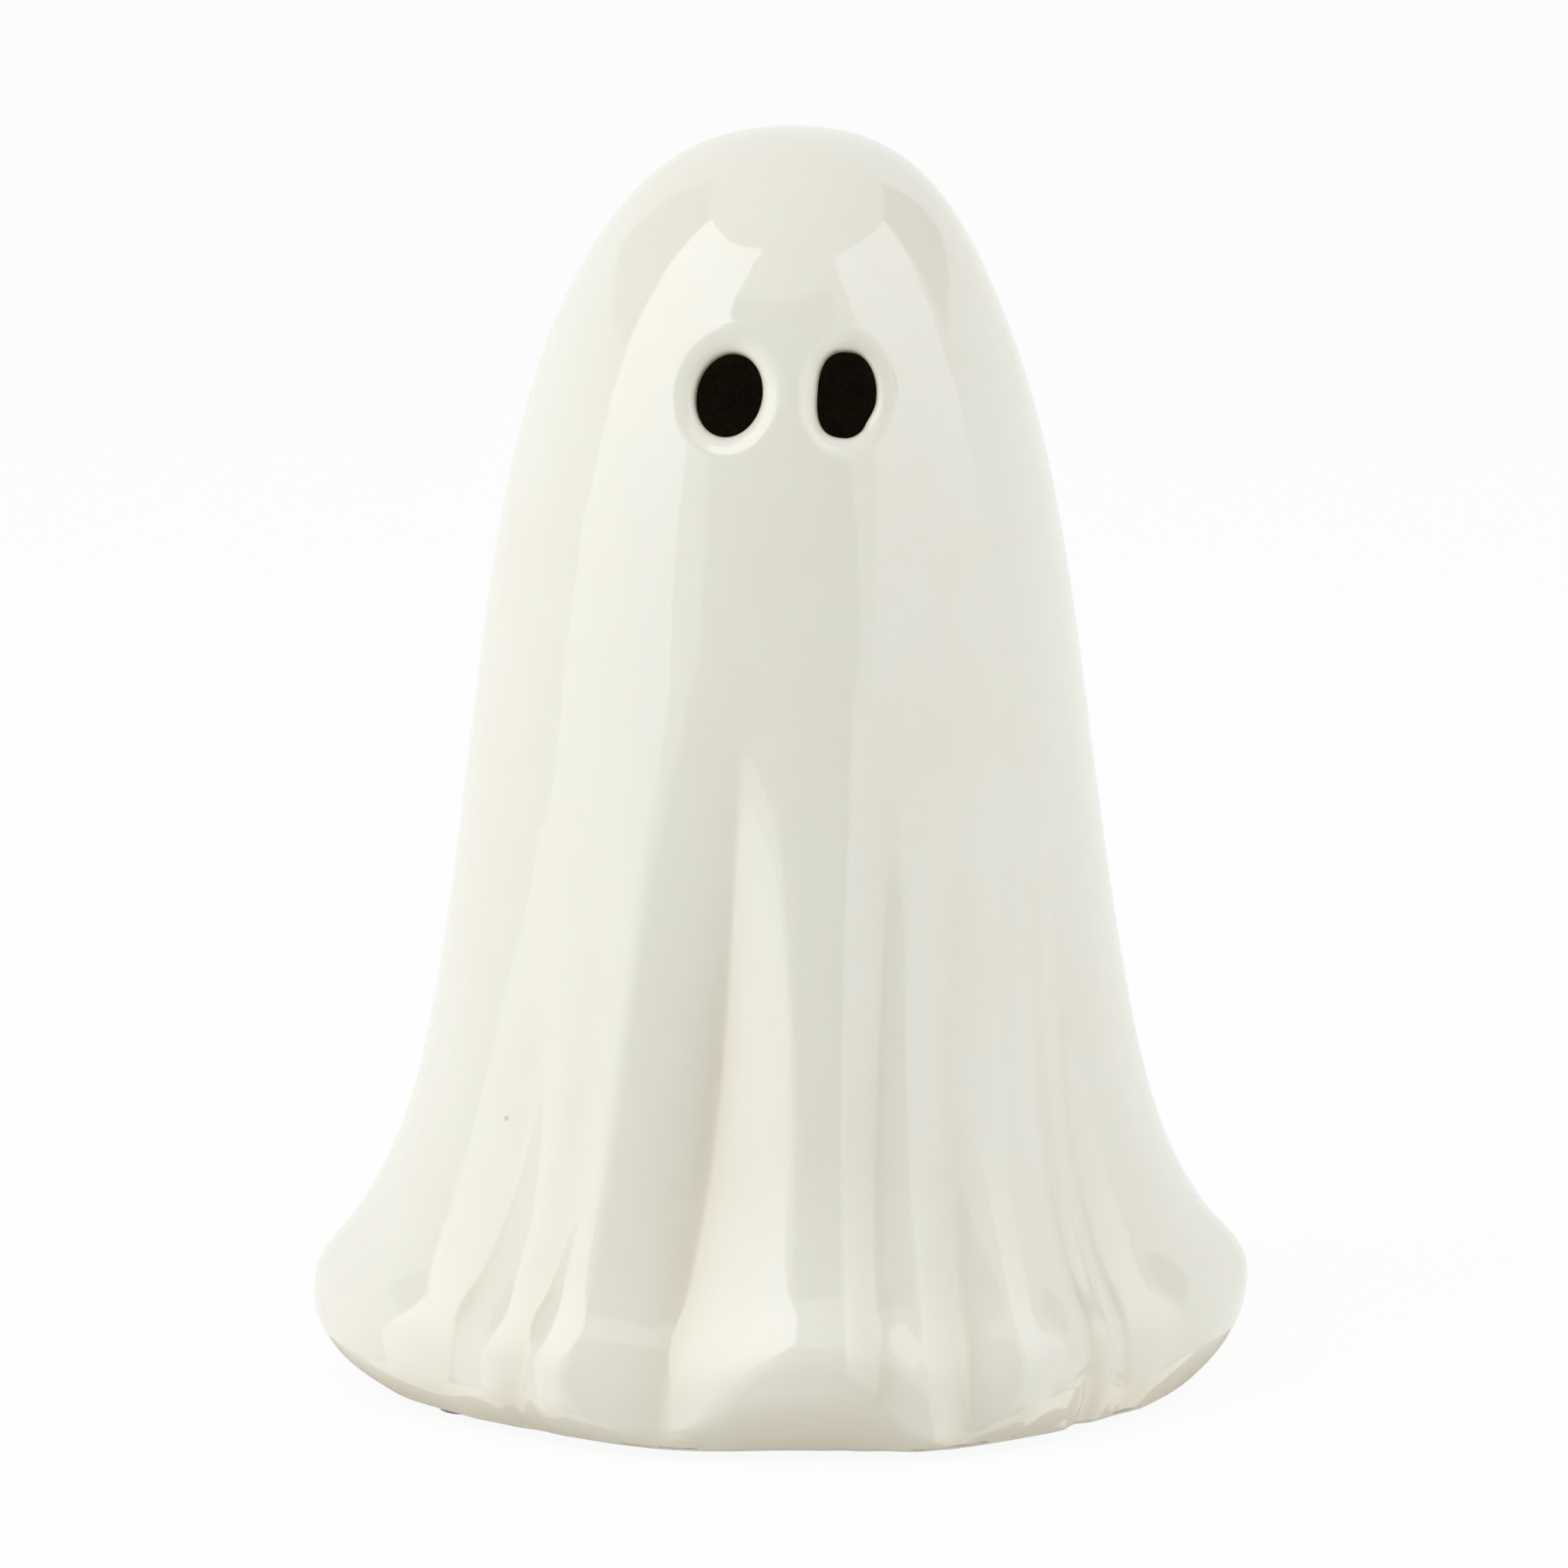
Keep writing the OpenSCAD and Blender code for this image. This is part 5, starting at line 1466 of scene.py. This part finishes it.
def dress(finish: bpy.types.Material, *nodes: str) -> None:
    """Gives CAD nodes a finish.

    Args:
        finish: the material.
        *nodes: names of the nodes.
    """
    for name in nodes:
        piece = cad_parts[name]
        piece.data.materials.clear()
        piece.data.materials.append(finish)
        log.info("dressed %s in %s", name, finish.name)


def fit(piece: bpy.types.Object, finish: bpy.types.Material, body: Body, slot: str, *nodes: str) -> None:
    """Dresses a new piece, makes it ride on its body and, if nodes are named, stand for them.

    Args:
        piece: the new piece.
        finish: its material.
        body: the body that it moves with.
        slot: the record's material slot; not used.
        *nodes: the CAD nodes that it stands for.
    """
    piece.data.materials.append(finish)
    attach(piece, body.value)
    if nodes:
        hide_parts(*nodes)
    log.info("built %s: %d faces", piece.name, len(piece.data.polygons))


def main() -> None:
    """Builds the studio, the finishes, the shell and the light unit's details, in that order."""
    logging.basicConfig(level=logging.INFO, format="%(name)s: %(message)s")
    bpy.context.scene.view_settings.view_transform = "Standard"
    PhotoCamera().build()
    Studio(panels=(
        SoftPanel("left_soft_panel", ((-24, -40, -24, -90), (4, -41, 4, -89), (20, -43, 20, -87), (40, -36, 40, -85),
                                      (60, -19, 59, -85)), 2.85, 1.7),
        SoftPanel("right_soft_panel", ((-24, 34, -24, 92), (4, 36, 4, 92), (20, 42, 20, 92), (36, 43, 34, 92),
                                       (54, 41, 49, 94)), 2.15, 1.28),
        SoftPanel("front_grey_flag", ((-24, -31, -24, 31), (46, -31, 46, 31)), 0.3, distance=1.5),
        SoftPanel("right_grey_flag", ((24, 97, 24, 132), (49, 94, 49, 128)), 0.38, distance=1.4, lights=False),
        SoftPanel("left_grey_flag", ((26, -132, 26, -88), (59, -128, 59, -85)), 0.5, distance=1.4, lights=False),
        SoftPanel("left_table_glow", ((-62, -40, -62, -120), (-24, -46, -24, -112)), 1.5, distance=1.4,
                  colour=(1.0, 0.93, 0.82), lights=False),
        SoftPanel("right_table_glow", ((-62, 40, -62, 120), (-24, 46, -24, 112)), 1.7, distance=1.4,
                  colour=(1.0, 0.93, 0.82), lights=False),
        SoftPanel("table_in_reflections", ((-89, 0, -89, 360), (-22, 0, -22, 360)), 0.55, distance=1.6,
                  colour=(1.0, 0.9, 0.74), lights=False),
    )).build()

    finishes = Finishes()
    glaze = Glaze().build(finishes)
    white = Moulded("white_spark_plastic", (0.80, 0.80, 0.76)).build(finishes)
    black = Moulded("black_satin_plastic", (0.02, 0.02, 0.022), rough=0.35).build(finishes)
    silicone = Moulded("clear_silicone", (0.74, 0.74, 0.70), rough=0.5, grain_depth=0.00003, subsurface=0.35).build(finishes)
    foam = Moulded("closed_cell_foam", (0.075, 0.075, 0.08), rough=0.88, grain_scale=3600.0, grain_depth=0.00018, scuff=0.15, foam=True).build(finishes)
    pale = Moulded("pale_cell_foam", (0.66, 0.64, 0.58), rough=0.85, grain_scale=3600.0, grain_depth=0.00015, scuff=0.2,
                   foam=True).build(finishes)
    zinc = PlatedMetal("zinc_plate", (0.62, 0.62, 0.60), 0.3, (1.0, 1.0, 0.1)).build(finishes)
    nickel = PlatedMetal("nickel_plate", (0.66, 0.64, 0.59), 0.2).build(finishes)
    solder = PlatedMetal("bright_solder", (0.72, 0.72, 0.73), 0.16, (1.0, 1.0, 1.0)).build(finishes)
    board = CircuitMask().build(finishes)
    lamp = ClearResin("warm_lamp_resin", (0.96, 0.90, 0.66), 0.05, 0.8).build(finishes)
    lens = ClearResin("frosted_lens_resin", (0.93, 0.93, 0.91), 0.32, 0.55).build(finishes)
    red = Moulded("red_lead_sleeve", (0.50, 0.014, 0.012), rough=0.38, grain_scale=1500.0, grain_depth=0.00003).build(finishes)
    dark = Moulded("black_lead_sleeve", (0.016, 0.016, 0.017), rough=0.38, grain_scale=1500.0, grain_depth=0.00003).build(finishes)

    dress(white, "base_plate", "tub_housing", "battery_tray", "battery_door")
    dress(silicone, "base_collar")
    dress(zinc, "housing_screws", "door_screw", "board_screws")
    dress(nickel, "bridge_contact", "positive_contact", "negative_contact", "switch_case")
    dress(board, "circuit_board", "lamp_board")
    dress(black, "timer_chip", "drive_resistor", "switch_slider")
    dress(lamp, "led_lamp")
    dress(lens, "lens_dome")
    dress(CellSleeve("rear_cell_sleeve", 0.0022, 1.0).build(finishes), "battery_cell_rear")
    dress(CellSleeve("front_cell_sleeve", -0.0022, -1.0).build(finishes), "battery_cell_front")

    form = SheetForm()
    eyes = (EyeHole(Side.LEFT, -12.4, -8.0, 9.4, 11.8), EyeHole(Side.RIGHT, 15.1, -2.0, 8.1, 12.2, square=0.7, notch=0.09))
    fit(GhostShell(form, eyes).build(), glaze, Body.GHOST, "glaze_white", "ghost_shell")

    sizes = UnitSizes()
    pads = FootPads(sizes).build()
    fit(pads, pale, Body.GHOST, "foam_pale", "foot_pads")
    low, high = (np.array(corner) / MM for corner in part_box("door_foam"))
    strip = cushion_box("door_foam_strip", low, high, 0.35)
    fit(strip, foam, Body.DOOR, "foam_grey", "door_foam")
    for node, piece in BatterySprings(sizes).build().items():
        fit(piece, nickel, Body.UNIT, "contact_plate", node)
    for node, piece in Leads(sizes).build().items():
        is_red = node.endswith("red")
        fit(piece, red if is_red else dark, Body.UNIT, "wire_red" if is_red else "wire_black", node)
    fit(SolderJoints(sizes).build(), solder, Body.UNIT, "contact_plate")
    fit(ChipLegs(sizes).build(), solder, Body.UNIT, "contact_plate")
    fit(DoorGrip(sizes).build(), white, Body.DOOR, "plastic_white")


if __name__ == "__main__":
    main()
